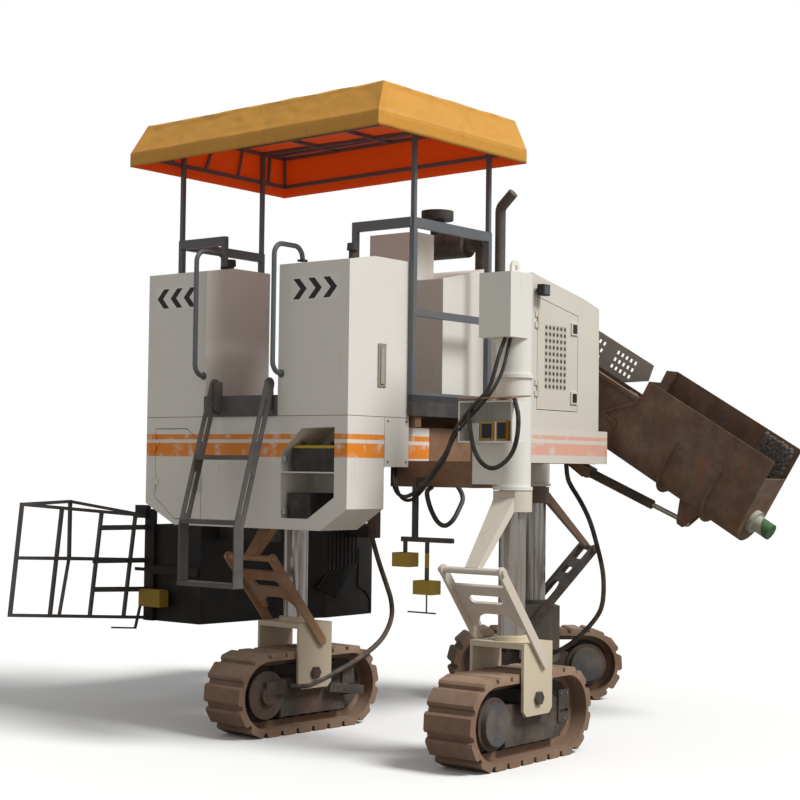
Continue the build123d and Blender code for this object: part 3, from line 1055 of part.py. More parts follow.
# Everything moves so that the bottom centre of the whole machine is the origin
whole = Compound(list(nodes.values())).bounding_box()
centre = Vector((whole.min.X + whole.max.X) / 2, (whole.min.Y + whole.max.Y) / 2, whole.min.Z)
shift = Pos(-centre.X, -centre.Y, -centre.Z)

os.makedirs("parts", exist_ok=True)
for name, shape in nodes.items():
    export_step(shift * shape, f"parts/{name}.step")
print("nodes", len(nodes), "shift", centre, "size", whole.size)
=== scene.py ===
import bmesh
import bpy
import math
from mathutils import Matrix, Vector, noise


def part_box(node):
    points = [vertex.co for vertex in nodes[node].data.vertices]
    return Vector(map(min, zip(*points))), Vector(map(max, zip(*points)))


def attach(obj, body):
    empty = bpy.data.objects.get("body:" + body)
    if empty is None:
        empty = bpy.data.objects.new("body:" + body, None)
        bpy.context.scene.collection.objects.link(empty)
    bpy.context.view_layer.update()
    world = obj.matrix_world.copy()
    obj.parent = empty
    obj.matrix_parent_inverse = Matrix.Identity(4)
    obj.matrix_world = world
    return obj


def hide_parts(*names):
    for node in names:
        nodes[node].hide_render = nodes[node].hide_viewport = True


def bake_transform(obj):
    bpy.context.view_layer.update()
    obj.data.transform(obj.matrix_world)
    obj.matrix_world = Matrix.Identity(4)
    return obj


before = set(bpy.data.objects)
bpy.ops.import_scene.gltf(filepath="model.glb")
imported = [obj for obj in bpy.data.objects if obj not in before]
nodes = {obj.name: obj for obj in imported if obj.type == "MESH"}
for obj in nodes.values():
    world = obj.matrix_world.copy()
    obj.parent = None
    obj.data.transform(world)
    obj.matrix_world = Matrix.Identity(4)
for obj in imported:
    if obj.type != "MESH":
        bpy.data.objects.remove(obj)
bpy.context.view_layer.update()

# The camera stands behind the rear right corner of the machine, a little below the height of the engine deck.
# Its place is given from the rear right corner of the right cabinet on the ground, with X along the drive.
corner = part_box("upper_cabinet_right")[0]
HOME = Vector((corner[0], corner[1], 0.0))


def at(x, y, z):
    """A point given in millimetres from the cabinets' rear right corner on the ground."""
    return Vector((HOME.x + x / 1000, HOME.y + y / 1000, z / 1000))


CAMERA_AT = HOME + Vector((-9.227, -7.681, 2.100))
CAMERA_YAW, CAMERA_PITCH, CAMERA_ROLL = math.radians(37.97), math.radians(2.363), math.radians(0.722)
FOCAL_PIXELS = 1651.4
FRAME_PIXELS = 800
SENSOR_WIDTH = 36.0
ahead = Vector((math.cos(CAMERA_YAW) * math.cos(CAMERA_PITCH), math.sin(CAMERA_YAW) * math.cos(CAMERA_PITCH),
                math.sin(CAMERA_PITCH)))
level = Vector((math.sin(CAMERA_YAW), -math.cos(CAMERA_YAW), 0.0))
above = level.cross(ahead)
side = level * math.cos(CAMERA_ROLL) + above * math.sin(CAMERA_ROLL)
upward = above * math.cos(CAMERA_ROLL) - level * math.sin(CAMERA_ROLL)
camera = bpy.data.objects.new("camera", bpy.data.cameras.new("camera"))
camera.matrix_world = Matrix((
    (side.x, upward.x, -ahead.x, CAMERA_AT.x), (side.y, upward.y, -ahead.y, CAMERA_AT.y),
    (side.z, upward.z, -ahead.z, CAMERA_AT.z), (0.0, 0.0, 0.0, 1.0)))
camera.data.sensor_width = SENSOR_WIDTH
camera.data.lens = SENSOR_WIDTH * FOCAL_PIXELS / FRAME_PIXELS
camera.data.clip_end = 200.0
bpy.context.scene.collection.objects.link(camera)
bpy.context.scene.camera = camera
bpy.context.scene.view_settings.view_transform = "Standard"


# Floor and light: a studio floor that looks white and keeps the machine's shadow, an even sky, and one broad
# lamp high over the right side, which leaves the rear faces in shade. Only the camera sees the sky as white.
class Wire:
    """A shader socket that takes part in Python sums: each sum adds its Math node."""

    def __init__(self, finish, socket):
        self.finish = finish
        self.socket = socket

    def maths(self, operation, *others):
        return self.finish.node("Math", {"operation": operation}, self, *others)

    def __add__(self, other):
        return self.maths("ADD", other)

    def __sub__(self, other):
        return self.maths("SUBTRACT", other)

    def __mul__(self, other):
        return self.maths("MULTIPLY", other)

    def __truediv__(self, other):
        return self.maths("DIVIDE", other)

    def __rsub__(self, other):
        return self.finish.node("Math", {"operation": "SUBTRACT"}, other, self)

    def __gt__(self, other):
        return self.maths("GREATER_THAN", other)

    def __lt__(self, other):
        return self.maths("LESS_THAN", other)

    __radd__ = __add__
    __rmul__ = __mul__

    def held(self):
        """The value kept between 0 and 1."""
        return self.finish.node("Clamp", {}, self)

    def within(self, low, high):
        """1 where the value lies between low and high, and 0 elsewhere."""
        return (self > low) * (self < high)


class Finish:
    """A finish and its shader: node() adds a node, and over() lays one colour over another by a mask."""

    def __init__(self, name, **sockets):
        self.material = bpy.data.materials.new(name)
        self.material.use_nodes = True
        self.tree = self.material.node_tree
        self.shader = self.tree.nodes["Principled BSDF"]
        self.set(**sockets)

    def feed(self, socket, value):
        if isinstance(value, Wire):
            self.tree.links.new(value.socket, socket)
        else:
            socket.default_value = value

    def set(self, **sockets):
        for name, value in sockets.items():
            self.feed(self.shader.inputs[name.replace("_", " ")], value)

    def node(self, kind, settings, *inputs, output=0, **named):
        made = self.tree.nodes.new("ShaderNode" + kind)
        for key, value in settings.items():
            setattr(made, key, value)
        for key, value in [*enumerate(inputs), *named.items()]:
            self.feed(made.inputs[key.replace("_", " ") if isinstance(key, str) else key], value)
        return Wire(self, made.outputs[output])

    def over(self, mask, under, upper):
        """The colour under, with the colour upper over it where the mask is 1."""
        mix = self.tree.nodes.new("ShaderNodeMix")
        mix.data_type = "RGBA"
        for place, value in ((0, mask), (6, under), (7, upper)):
            self.feed(mix.inputs[place], value)
        return Wire(self, mix.outputs[2])

    def laid(self):
        """The base colour as it has been laid so far."""
        return Wire(self, self.shader.inputs["Base Color"].links[0].from_socket)

    def place(self, stretch=(1.0, 1.0, 1.0)):
        """Object coordinates, stretched."""
        coordinates = self.node("TexCoord", {}, output="Object")
        return self.node("Mapping", {}, coordinates, Scale=stretch)

    def noise(self, scale, stretch=(1.0, 1.0, 1.0), detail=4.0, rough=0.6):
        return self.node("TexNoise", {}, self.place(stretch), Scale=scale, Detail=detail, Roughness=rough)

    def axes(self):
        """The x, y and z of a point, in metres."""
        split = self.node("SeparateXYZ", {}, self.place())
        return [Wire(self, output) for output in split.socket.node.outputs]

    def bump(self, height, distance, strength=1.0):
        self.set(Normal=self.node("Bump", {}, Height=height, Distance=distance, Strength=strength))


FLOOR_HALF = 60
FLOOR_SEEN, FLOOR_LIT_BY = (0.92, 0.92, 0.91, 1.0), (0.30, 0.28, 0.26, 1.0)
ground = Finish("studio_floor", Roughness=0.9, Specular_IOR_Level=0.1)
straight = ground.node("LightPath", {}, output="Is Camera Ray")
ground.set(Base_Color=ground.over(straight, FLOOR_LIT_BY, FLOOR_SEEN))
floor_mesh = bpy.data.meshes.new("floor")
floor_corners = [(x * FLOOR_HALF, y * FLOOR_HALF, 0) for x, y in ((-1, -1), (1, -1), (1, 1), (-1, 1))]
floor_mesh.from_pydata(floor_corners, [], [(0, 1, 2, 3)])
floor_mesh.materials.append(ground.material)
studio_floor = bpy.data.objects.new("floor", floor_mesh)
bpy.context.scene.collection.objects.link(studio_floor)

SKY_STRENGTH = 0.42
world = bpy.data.worlds.new("studio")
world.use_nodes = True
bpy.context.scene.world = world
sky = world.node_tree
light_path = sky.nodes.new("ShaderNodeLightPath")
seen = sky.nodes.new("ShaderNodeMath")
seen.operation = "MAXIMUM"
sky.links.new(light_path.outputs["Is Camera Ray"], seen.inputs[0])
sky.links.new(light_path.outputs["Is Transmission Ray"], seen.inputs[1])
strength = sky.nodes.new("ShaderNodeMapRange")
strength.inputs["To Min"].default_value = SKY_STRENGTH
strength.inputs["To Max"].default_value = 1.0
sky.links.new(seen.outputs[0], strength.inputs["Value"])
sky.links.new(strength.outputs[0], sky.nodes["Background"].inputs["Strength"])
sky.nodes["Background"].inputs["Color"].default_value = (1.0, 1.0, 1.0, 1.0)

LAMP_STRENGTH, LAMP_SPREAD = 3.0, math.radians(22.0)
LAMP_TILT, LAMP_TURN = math.radians(40.0), math.radians(9.0)
lamp = bpy.data.objects.new("key_light", bpy.data.lights.new("key_light", "SUN"))
lamp.data.energy = LAMP_STRENGTH
lamp.data.angle = LAMP_SPREAD
lamp.rotation_euler = (LAMP_TILT, 0.0, LAMP_TURN)
bpy.context.scene.collection.objects.link(lamp)


# Painted sheet steel: an off-white coat that is chipped and streaked with rust under its edges, and dusty low
# down. All cabinets, the hood, the leg housings and the boxes on them wear it, each with its share of dirt.
def shade(colour, share):
    """A colour made darker."""
    return tuple(part * share for part in colour[:3]) + (1.0,)


RUST_RUN, RUST_SPOT = (0.44, 0.26, 0.13, 1.0), (0.28, 0.10, 0.035, 1.0)
EARTH = (0.36, 0.27, 0.19, 1.0)


def paint(name, colour, rust, dust, dust_top=1.0):
    """A coat with its share of rust, and of dust that thins out towards the height dust_top."""
    coat = Finish(name)
    _, _, height = coat.axes()
    streaks = ((coat.noise(1.0, (26.0, 26.0, 1.3), 6.0, 0.62) - 0.56) * 7.0).held()
    blotches = ((coat.noise(3.1, (1.0, 1.0, 0.6), 8.0, 0.66) - 0.50) * 6.0).held()
    specks = ((coat.noise(42.0, (1.0, 1.0, 1.0), 3.0, 0.6) - 0.66) * 16.0).held()
    cloud = coat.noise(1.1, (1.0, 1.0, 1.0), 5.0, 0.6)
    low = (1.0 - height / dust_top).held()
    base = coat.over((cloud - 0.35).held() * 0.35, colour, shade(colour, 0.80))
    base = coat.over(streaks * blotches * rust, base, RUST_RUN)
    base = coat.over(specks * blotches * (rust * 1.6), base, RUST_SPOT)
    dirt = (low * 0.9 + cloud * 0.5 - 0.28).held() * dust
    base = coat.over(dirt, base, EARTH)
    coat.set(Base_Color=base, Roughness=(streaks * 0.18 + dirt * 0.4 + 0.42).held())
    coat.bump(cloud * 0.4 + specks * blotches * -0.6, 0.0012, 0.5)
    return coat


def dress(finish, *names):
    """Gives CAD pieces their finish."""
    for name in names:
        mesh = nodes[name].data
        mesh.materials.clear()
        mesh.materials.append(finish.material)


CREAM = (0.79, 0.765, 0.70, 1.0)
cabinet_paint = paint("cabinet_paint", CREAM, rust=0.30, dust=0.10)
hood_paint = paint("hood_paint", (0.74, 0.71, 0.62, 1.0), rust=0.22, dust=0.45, dust_top=5.0)
housing_paint = paint("housing_paint", (0.80, 0.785, 0.72, 1.0), rust=0.40, dust=0.12)
dress(cabinet_paint, "upper_cabinet_right", "upper_cabinet_left", "rear_body", "operator_console")
dress(hood_paint, "engine_hood")
dress(housing_paint, "control_box", "control_tray")
dress(housing_paint, "leg_housing_right", "leg_housing_rear", "leg_housing_front")


# Lower cabinet, its door and the deck's apron: the same paint with a thin and a thick orange stripe round
# them. The apron's stripes have faded to a dusty pink. Heights are in metres, x and y in metres from home.
CABINET_STRIPES, APRON_STRIPES = ((2.172, 2.278), (2.306, 2.346)), ((2.222, 2.320), (2.352, 2.384))
ORANGE, FADED_PINK = (0.84, 0.255, 0.02, 1.0), (0.76, 0.41, 0.31, 1.0)
OUTER_FACES = (0.002, 0.066, 2.098)
SIDE_OPENING = (0.434, 0.735)


def striped(coat, bands, colour, inside=None, bare=None):
    """Adds stripes to a coat between heights, on the faces that lie outside and not between two bare x."""
    x, y, z = coat.axes()
    mask = None
    for low, high in bands:
        band = z.within(low, high)
        mask = band if mask is None else mask + band
    if inside:
        outside = (x < HOME.x + inside[0]) + (y < HOME.y + inside[1]) + (y > HOME.y + inside[2])
        mask = mask * outside.held()
    if bare:
        mask = mask * (1.0 - x.within(HOME.x + bare[0], HOME.x + bare[1]))
    worn = ((coat.noise(9.0, (1.0, 1.0, 1.0), 6.0, 0.7) - 0.30) * 6.0).held()
    coat.set(Base_Color=coat.over(mask * worn, coat.laid(), colour))
    return coat


lower_paint = striped(paint("lower_paint", CREAM, rust=0.55, dust=0.35, dust_top=2.6),
                      CABINET_STRIPES, ORANGE, OUTER_FACES, SIDE_OPENING)
dress(lower_paint, "lower_cabinet", "cabinet_door")
apron_paint = striped(paint("apron_paint", (0.74, 0.70, 0.62, 1.0), rust=0.5, dust=0.35, dust_top=4.0),
                      APRON_STRIPES, FADED_PINK)
dress(apron_paint, "engine_deck")

# The hood's door: the same sheet and paint, with holes cut through the sheet in straight rows as a vent. A
# dark ring round each hole and a light darkening over the whole vent are oily dirt and painted shade of the
# hood's dark inside seen through the holes. Sizes are in metres, and the corner is given from home.
VENT_COLUMNS, VENT_ROWS = 6, 10
VENT_PITCH = (0.057, 0.054)
VENT_CORNER = (2.340 - 3 * VENT_PITCH[0], 3.030 - 5 * VENT_PITCH[1])
VENT_SHADE_RADIUS = 0.019
HOLE_SHADE_AND_DIRT = (0.10, 0.085, 0.068, 1.0)
door_paint = paint("door_paint", (0.72, 0.69, 0.60, 1.0), rust=0.30, dust=0.5, dust_top=5.0)
door_x, _, door_z = door_paint.axes()
vent_left = HOME.x + VENT_CORNER[0]
vent_low = VENT_CORNER[1]
cell_x = ((door_x - vent_left) / VENT_PITCH[0]).maths("FRACT") - 0.5
cell_z = ((door_z - vent_low) / VENT_PITCH[1]).maths("FRACT") - 0.5
reach = cell_x * cell_x * VENT_PITCH[0] ** 2 + cell_z * cell_z * VENT_PITCH[1] ** 2
vent = door_x.within(vent_left, vent_left + VENT_COLUMNS * VENT_PITCH[0])
vent = vent * door_z.within(vent_low, vent_low + VENT_ROWS * VENT_PITCH[1])
# A dark ring round each hole and a light darkening over the vent: oily dirt, and painted shade of the hood's
# inside.
hole_shade_ring = (reach < VENT_SHADE_RADIUS ** 2) * vent
door_paint.set(Base_Color=door_paint.over(hole_shade_ring * 0.72 + vent * 0.16, door_paint.laid(), HOLE_SHADE_AND_DIRT))
dress(door_paint, "engine_door")


# Bare and painted structural steel: dark parts dulled by dust, the frame and arms browned by rust, the mould
# nearly black with a thin film of dried slurry, its dark steel darkened further by painted shade of the deep
# shadow under the machine, and the rails blue-grey where hands have kept them clean.
BROWN_RUST, DUST_FILM = (0.23, 0.095, 0.04, 1.0), (0.33, 0.255, 0.185, 1.0)
KICK_BLACK = (0.040, 0.041, 0.043, 1.0)
KICK_BOARD_Z = (2.46, 2.66)


def worn_steel(name, colour, rusty, dusty, rough=0.6, grain=0.0016):
    """Steel of a colour, with its share of rust and dust, and a surface as uneven as grain, in metres."""
    steel = Finish(name)
    cloud = steel.noise(2.3, (1.0, 1.0, 1.0), 8.0, 0.65)
    fine = steel.noise(38.0, (1.0, 1.0, 1.0), 5.0, 0.6)
    patches = ((cloud - 0.46) * 5.0 + (fine - 0.5) * 1.5).held()
    base = steel.over(patches * rusty, colour, BROWN_RUST)
    film = ((steel.noise(5.0, (1.0, 1.0, 1.0), 6.0, 0.7) - 0.42) * 4.0).held() * dusty
    base = steel.over(film, base, DUST_FILM)
    base = steel.over((fine - 0.55).held() * 0.8, base, shade(colour, 0.45))
    steel.set(Base_Color=base, Roughness=(patches * 0.15 + film * 0.2 + rough).held())
    steel.bump(cloud * 0.6 + fine * 0.5, grain, 0.8)
    return steel


frame_steel = worn_steel("frame_steel", (0.22, 0.12, 0.065, 1.0), 0.8, 0.35)
dark_steel = worn_steel("dark_steel", (0.045, 0.038, 0.034, 1.0), 0.30, 0.22)
ladder_steel = worn_steel("ladder_steel", (0.085, 0.084, 0.084, 1.0), 0.12, 0.18, 0.45)
# Nearly black: dark steel, darkened further with painted shade of the deep shadow under the machine.
mould_steel_and_shade = worn_steel("mould_steel_and_shade", (0.006, 0.006, 0.006, 1.0), 0.06, 0.05)
kick_steel = worn_steel("kick_steel", KICK_BLACK, 0.10, 0.15)
exhaust_steel = worn_steel("exhaust_steel", (0.080, 0.078, 0.076, 1.0), 0.15, 0.20)
rail_paint = worn_steel("rail_paint", (0.125, 0.138, 0.152, 1.0), 0.08, 0.08, 0.38, 0.0005)
dress(frame_steel, "main_frame", "conveyor_mount")
dress(dark_steel, "engine_block", "track_frame_right", "track_frame_rear", "track_frame_front",
      "track_drive_right", "track_drive_rear", "track_drive_front", "lift_barrel", "mould_hanger")
dress(ladder_steel, "ladder", "step_cage", "ladder_sill")
dress(kick_steel, "platform_floor")
dress(exhaust_steel, "exhaust_pipe")
dress(mould_steel_and_shade, "mould_body")
_, _, rail_z = rail_paint.axes()
rail_paint.set(Base_Color=rail_paint.over(rail_z.within(*KICK_BOARD_Z), rail_paint.laid(), KICK_BLACK))
dress(rail_paint, "guard_rails_right", "guard_rails_left", "handrails", "canopy_frame")

# Rod of the conveyor's lift cylinder: a ground steel bar with a hard chrome plate, under a film of dust that
# has dried on it in streaks.
CHROME = (0.60, 0.59, 0.57, 1.0)
rod_chrome = Finish("chrome_steel", Metallic=1.0)
rod_film = ((rod_chrome.noise(4.0, (3.0, 3.0, 0.6), 6.0, 0.65) - 0.42) * 3.0).held()
rod_chrome.set(Base_Color=rod_chrome.over(rod_film * 0.75, CHROME, (0.22, 0.17, 0.13, 1.0)),
               Roughness=(rod_film * 0.35 + 0.18).held())
dress(rod_chrome, "lift_rod")

# Leg columns: one chrome tube between a steering collar and a yoke of painted plate. The rear and right legs
# are cream and rusty, the front one is brown with a dark yoke. Heights are in metres.
CHROME_Z = (0.905, 1.795)


def leg_coat(name, yoke, collar, rust):
    """Chrome between the two heights, the yoke's paint below and the collar's above."""
    coat = paint(name, yoke, rust=rust, dust=0.5, dust_top=1.1)
    _, _, z = coat.axes()
    tube = z.within(*CHROME_Z)
    streak = ((coat.noise(1.0, (30.0, 30.0, 1.0), 5.0, 0.6) - 0.45) * 5.0).held()
    plate = coat.over(streak * 0.8, CHROME, (0.20, 0.14, 0.10, 1.0))
    painted = coat.over((z > CHROME_Z[1]) * 0.85, coat.laid(), collar)
    coat.set(Base_Color=coat.over(tube, painted, plate), Metallic=tube * (1.0 - streak * 0.6),
             Roughness=(0.5 - tube * 0.28 + tube * streak * 0.25).held())
    return coat


dress(leg_coat("leg_paint_right", (0.66, 0.58, 0.42, 1.0), (0.66, 0.60, 0.50, 1.0), 0.9), "leg_column_right")
dress(leg_coat("leg_paint_rear", (0.60, 0.50, 0.36, 1.0), (0.50, 0.42, 0.32, 1.0), 1.0), "leg_column_rear")
dress(leg_coat("leg_paint_front", (0.10, 0.09, 0.08, 1.0), (0.20, 0.14, 0.10, 1.0), 0.5), "leg_column_front")

# Torque links: welded arms with windows, pinned at the knee so that they fold while a leg is lifted. Each has
# aged its own way, and the front one is brown above its knee and dark below it.
KNEE_Z = 1.41
ARM_BROWN = (0.21, 0.13, 0.085, 1.0)
right_link = paint("link_paint_right", (0.70, 0.64, 0.54, 1.0), rust=1.0, dust=0.35, dust_top=2.4)
dress(right_link, "torque_link_right")
dress(worn_steel("link_paint_rear", (0.36, 0.20, 0.10, 1.0), 0.7, 0.5), "torque_link_rear")
front_link = worn_steel("link_paint_front", (0.060, 0.056, 0.052, 1.0), 0.2, 0.4)
_, _, knee_height = front_link.axes()
front_link.set(Base_Color=front_link.over(knee_height > KNEE_Z, front_link.laid(), ARM_BROWN))
dress(front_link, "torque_link_front")

# Track shoes and chains: cast steel worn bright brown by the ground, with dry earth in the gaps, most of it
# on the upper run.
DRY_EARTH = (0.50, 0.36, 0.25, 1.0)
DRY_FROM_Z = 0.47
track_steel = worn_steel("track_steel", (0.215, 0.130, 0.083, 1.0), 0.40, 0.35, 0.72, 0.003)
_, _, shoe_z = track_steel.axes()
dry = ((shoe_z - DRY_FROM_Z) * 6.0).held()
dry = dry * ((track_steel.noise(6.0, (1.0, 1.0, 1.0), 6.0, 0.7) - 0.2) * 2.0).held()
track_steel.set(Base_Color=track_steel.over(dry * 0.55, track_steel.laid(), DRY_EARTH))
dress(track_steel, "track_loop_right", "track_loop_rear", "track_loop_front")

# Conveyor: thick plate under dried concrete, brown where it is wet, with long runs of rust down its walls.
# The guard over its neck is zinc-coated sheet, its grey lifted to make up for the hood's shadow that falls on
# it (painted light), and the screw's motor has a green cap at its outer end.
CAP_SHARE = 0.38
trough_steel = worn_steel("trough_steel", (0.125, 0.080, 0.055, 1.0), 0.55, 0.40, 0.72, 0.004)
runs = ((trough_steel.noise(1.0, (16.0, 16.0, 1.1), 6.0, 0.65) - 0.50) * 6.0).held()
trough_steel.set(Base_Color=trough_steel.over(runs * 0.55, trough_steel.laid(), (0.24, 0.105, 0.045, 1.0)))
dress(trough_steel, "conveyor_trough", "conveyor_screw")
# The zinc grey is lifted to make up for the hood's shadow on the guard: painted light.
dress(worn_steel("guard_zinc_painted_light", (0.46, 0.43, 0.39, 1.0), 0.1, 0.35, 0.8, 0.004), "conveyor_guard")
motor_paint = paint("motor_paint", (0.42, 0.47, 0.38, 1.0), rust=0.6, dust=0.8, dust_top=4.0)
_, motor_y, _ = motor_paint.axes()
motor_low, motor_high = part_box("screw_motor")
cap = motor_y < motor_low[1] * (1.0 - CAP_SHARE) + motor_high[1] * CAP_SHARE
motor_paint.set(Base_Color=motor_paint.over(cap, motor_paint.laid(), (0.055, 0.135, 0.050, 1.0)))
dress(motor_paint, "screw_motor")

# Small units: the lamp, the air filter and the cases in the locker are black plastic. The sensors are dark
# steel with yellow housings, two on the right arm and one on the left. Heights are in metres, y from home.
RIGHT_BOXES_Z, RIGHT_BOXES_TO_Y = ((1.362, 1.472), (1.165, 1.272)), 0.6
LEFT_BOX_FROM_Z, LEFT_BOX_Y = 0.826, (2.0, 3.389)
HOUSING_YELLOW = (0.40, 0.26, 0.025, 1.0)
black_matt = worn_steel("black_matt", (0.022, 0.021, 0.020, 1.0), 0.05, 0.20, 0.6, 0.0008)
dress(black_matt, "work_lamp", "air_cleaner", "locker_cases")
sensor_finish = worn_steel("sensor_finish", (0.035, 0.033, 0.032, 1.0), 0.15, 0.25, 0.55, 0.0008)
_, sensor_y, sensor_z = sensor_finish.axes()
right_boxes = sensor_z.within(*RIGHT_BOXES_Z[0]) + sensor_z.within(*RIGHT_BOXES_Z[1])
right_boxes = right_boxes * (sensor_y < HOME.y + RIGHT_BOXES_TO_Y)
left_box = (sensor_z > LEFT_BOX_FROM_Z) * sensor_y.within(HOME.y + LEFT_BOX_Y[0], HOME.y + LEFT_BOX_Y[1])
yellow_part = (right_boxes + left_box).held()
sensor_finish.set(Base_Color=sensor_finish.over(yellow_part, sensor_finish.laid(), HOUSING_YELLOW))
dress(sensor_finish, "sensor_right", "sensor_left")


# Arrows on the upper cabinets: black film on a slightly paler strip, three on each, pointing outwards, stuck
# on the rear faces. From here on a piece's sizes and places are in millimetres, as at() takes them.
class Shape:
    """A small fixed piece, built from blocks, drums and plates in one growing mesh."""

    def __init__(self):
        self.mesh = bmesh.new()

    def block(self, x, y, z, bevel=0.0):
        """A block between two x, two y and two z."""
        middle = at(sum(x) / 2, sum(y) / 2, sum(z) / 2)
        size = [abs(pair[1] - pair[0]) / 1000 for pair in (x, y, z)]
        spread = Matrix.Translation(middle) @ Matrix.Diagonal((*size, 1.0))
        made = bmesh.ops.create_cube(self.mesh, size=1.0, matrix=spread)
        if bevel:
            edges = list({edge for vert in made["verts"] for edge in vert.link_edges})
            bmesh.ops.bevel(self.mesh, geom=edges, offset=bevel / 1000, segments=2, affect="EDGES",
                            clamp_overlap=True)
        return self

    def drum(self, p, q, r, r_end=None, sides=28):
        """A round piece from p to q, whose radius may change on the way."""
        start, end = at(*p), at(*q)
        turn = (end - start).to_track_quat("Z", "Y").to_matrix().to_4x4()
        bmesh.ops.create_cone(self.mesh, cap_ends=True, segments=sides, radius1=r / 1000,
                              radius2=(r if r_end is None else r_end) / 1000, depth=(end - start).length,
                              matrix=Matrix.Translation((start + end) / 2) @ turn)
        return self

    def plate(self, outline, depth):
        """A flat plate: an outline of points, thickened by the vector depth."""
        low = [self.mesh.verts.new(at(*p)) for p in outline]
        high = [self.mesh.verts.new(at(*(p[i] + depth[i] for i in range(3)))) for p in outline]
        self.mesh.faces.new(low)
        self.mesh.faces.new(high)
        for i in range(len(low)):
            j = (i + 1) % len(low)
            self.mesh.faces.new((low[i], low[j], high[j], high[i]))
        return self

    def done(self, name, finish, body="chassis", smooth=False):
        """Ends the mesh and makes it a piece of a body."""
        bmesh.ops.recalc_face_normals(self.mesh, faces=self.mesh.faces)
        made = bpy.data.meshes.new(name)
        self.mesh.to_mesh(made)
        self.mesh.free()
        made.materials.append(finish.material)
        if smooth:
            made.shade_smooth()
            made.set_sharp_from_angle(angle=math.radians(35.0))
        obj = bpy.data.objects.new(name, made)
        bpy.context.scene.collection.objects.link(obj)
        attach(obj, body)
        return obj


ARROW_COUNT = 3
ARROW_Z = (3352.0, 3506.0)
ARROW_STEP, ARROW_W, ARROW_ARM = 148.0, 134.0, 62.0
STRIP_PROUD, STRIP_MARGIN, STRIP_MARGIN_Z = (-0.8, -0.1), (18.0, 22.0), 16.0
ARROW_X, ARROW_THICK = -1.6, 0.7
black_film = Finish("black_film", Base_Color=(0.012, 0.012, 0.012, 1.0), Roughness=0.45)
pale_film = paint("pale_film", (0.83, 0.81, 0.75, 1.0), rust=0.25, dust=0.05)
for tag, tip_y, way in (("left", 2003.0, 1.0), ("right", 118.0, -1.0)):
    far_y = tip_y - way * ((ARROW_COUNT - 1) * ARROW_STEP + ARROW_W + STRIP_MARGIN[1])
    strip_z = (ARROW_Z[0] - STRIP_MARGIN_Z, ARROW_Z[1] + STRIP_MARGIN_Z)
    strip = Shape()
    strip.block(STRIP_PROUD, sorted((tip_y + way * STRIP_MARGIN[0], far_y)), strip_z)
    strip.done("arrow_strip_" + tag, pale_film)
    arrows = Shape()
    low, middle, high = ARROW_Z[0], sum(ARROW_Z) / 2, ARROW_Z[1]
    for i in range(ARROW_COUNT):
        tip = tip_y - way * i * ARROW_STEP
        tail = tip - way * ARROW_W
        arm = way * ARROW_ARM
        outline = ((tail, high), (tail + arm, high), (tip, middle), (tail + arm, low), (tail, low),
                   (tip - arm, middle))
        arrows.plate([(ARROW_X, y, z) for y, z in outline], (ARROW_THICK, 0.0, 0.0))
    arrows.done("arrows_" + tag, black_film)

# Cabinet fittings: the rusty joint between lower and upper cabinets and at the side panel, filler caps on
# top, the tank's sight gauge in its frame, the handrails' flanges and the zinc latches.
JOINT_PROUD, JOINT_Z = (-0.6, 0.2), (2479.5, 2483.5)
joints = Shape()
joints.block(JOINT_PROUD, (4, 2096), JOINT_Z)
joints.block((0, 720), JOINT_PROUD, JOINT_Z)
joints.block((431, 434), JOINT_PROUD, (2100, 2480))
joints.done("cabinet_seams", Finish("seam_rust", Base_Color=(0.16, 0.075, 0.04, 1.0), Roughness=0.85))

RAIL_X, RAIL_YS = 220, (655, 1470)
ROOF_SEAT_Z, ROOF_COLLAR_Z = 3670, 3682
caps = Shape()
for x, y in ((105.0, 60.0), (330.0, 1520.0)):
    caps.drum((x, y, 3640), (x, y, 3705), 30).drum((x, y, 3700), (x, y, 3752), 46, 42)
for y in RAIL_YS:
    caps.drum((RAIL_X, y, ROOF_SEAT_Z), (RAIL_X, y, ROOF_COLLAR_Z), 40)
caps.done("filler_caps", black_matt, smooth=True)

gauge = Shape()
gauge.block((338, 436), (-7, 0), (2700, 3028), 3.0)
gauge.done("gauge_frame", worn_steel("gauge_grey", (0.30, 0.29, 0.27, 1.0), 0.1, 0.2, 0.4, 0.0004))
glass = Shape()
glass.block((364, 410), (-13, -6), (2722, 3006), 4.0)
glass.done("gauge_glass", Finish("gauge_glass", Base_Color=(0.42, 0.36, 0.26, 1.0), Roughness=0.12,
                                 Coat_Weight=0.6))
flanges = Shape()
for y in RAIL_YS:
    flanges.drum((-7, y, 2800), (0, y, 2800), 30).drum((RAIL_X, y, 3676), (RAIL_X, y, ROOF_COLLAR_Z), 34)
flanges.done("handrail_flanges", rail_paint, smooth=True)

LATCH_HALF = 22
latches = Shape()
latches.block((-30, -24), (1492, 1560), (1906, 1998), 3.0)
for z in (2160.0, 1768.0):
    latches.block((10, 40), (606, 640), (z - LATCH_HALF, z + LATCH_HALF), 3.0)
latches.done("cabinet_latches", Finish("latch_zinc", Base_Color=(0.50, 0.49, 0.46, 1.0), Roughness=0.4,
                                       Metallic=0.6))

# Locker contents: a battery on the shelf, with its yellow lid and two posts, and a dark green case on the
# floor. Both are plastic boxes with rounded edges.
battery = Shape()
battery.block((70, 330), (180, 580), (2066, 2210), 6.0).done("battery_case", black_matt)
lid = Shape()
lid.block((66, 334), (176, 584), (2212, 2262), 8.0)
lid.done("battery_lid", Finish("battery_yellow", Base_Color=(0.62, 0.42, 0.03, 1.0), Roughness=0.45))
posts = Shape()
for y in (520, 240):
    posts.drum((110, y, 2262), (110, y, 2290), 14)
posts.done("battery_posts", black_matt)
case = Shape()
case.block((70, 330), (410, 620), (1716, 1900), 14.0)
case.done("tool_case", Finish("case_green", Base_Color=(0.020, 0.035, 0.025, 1.0), Roughness=0.5))
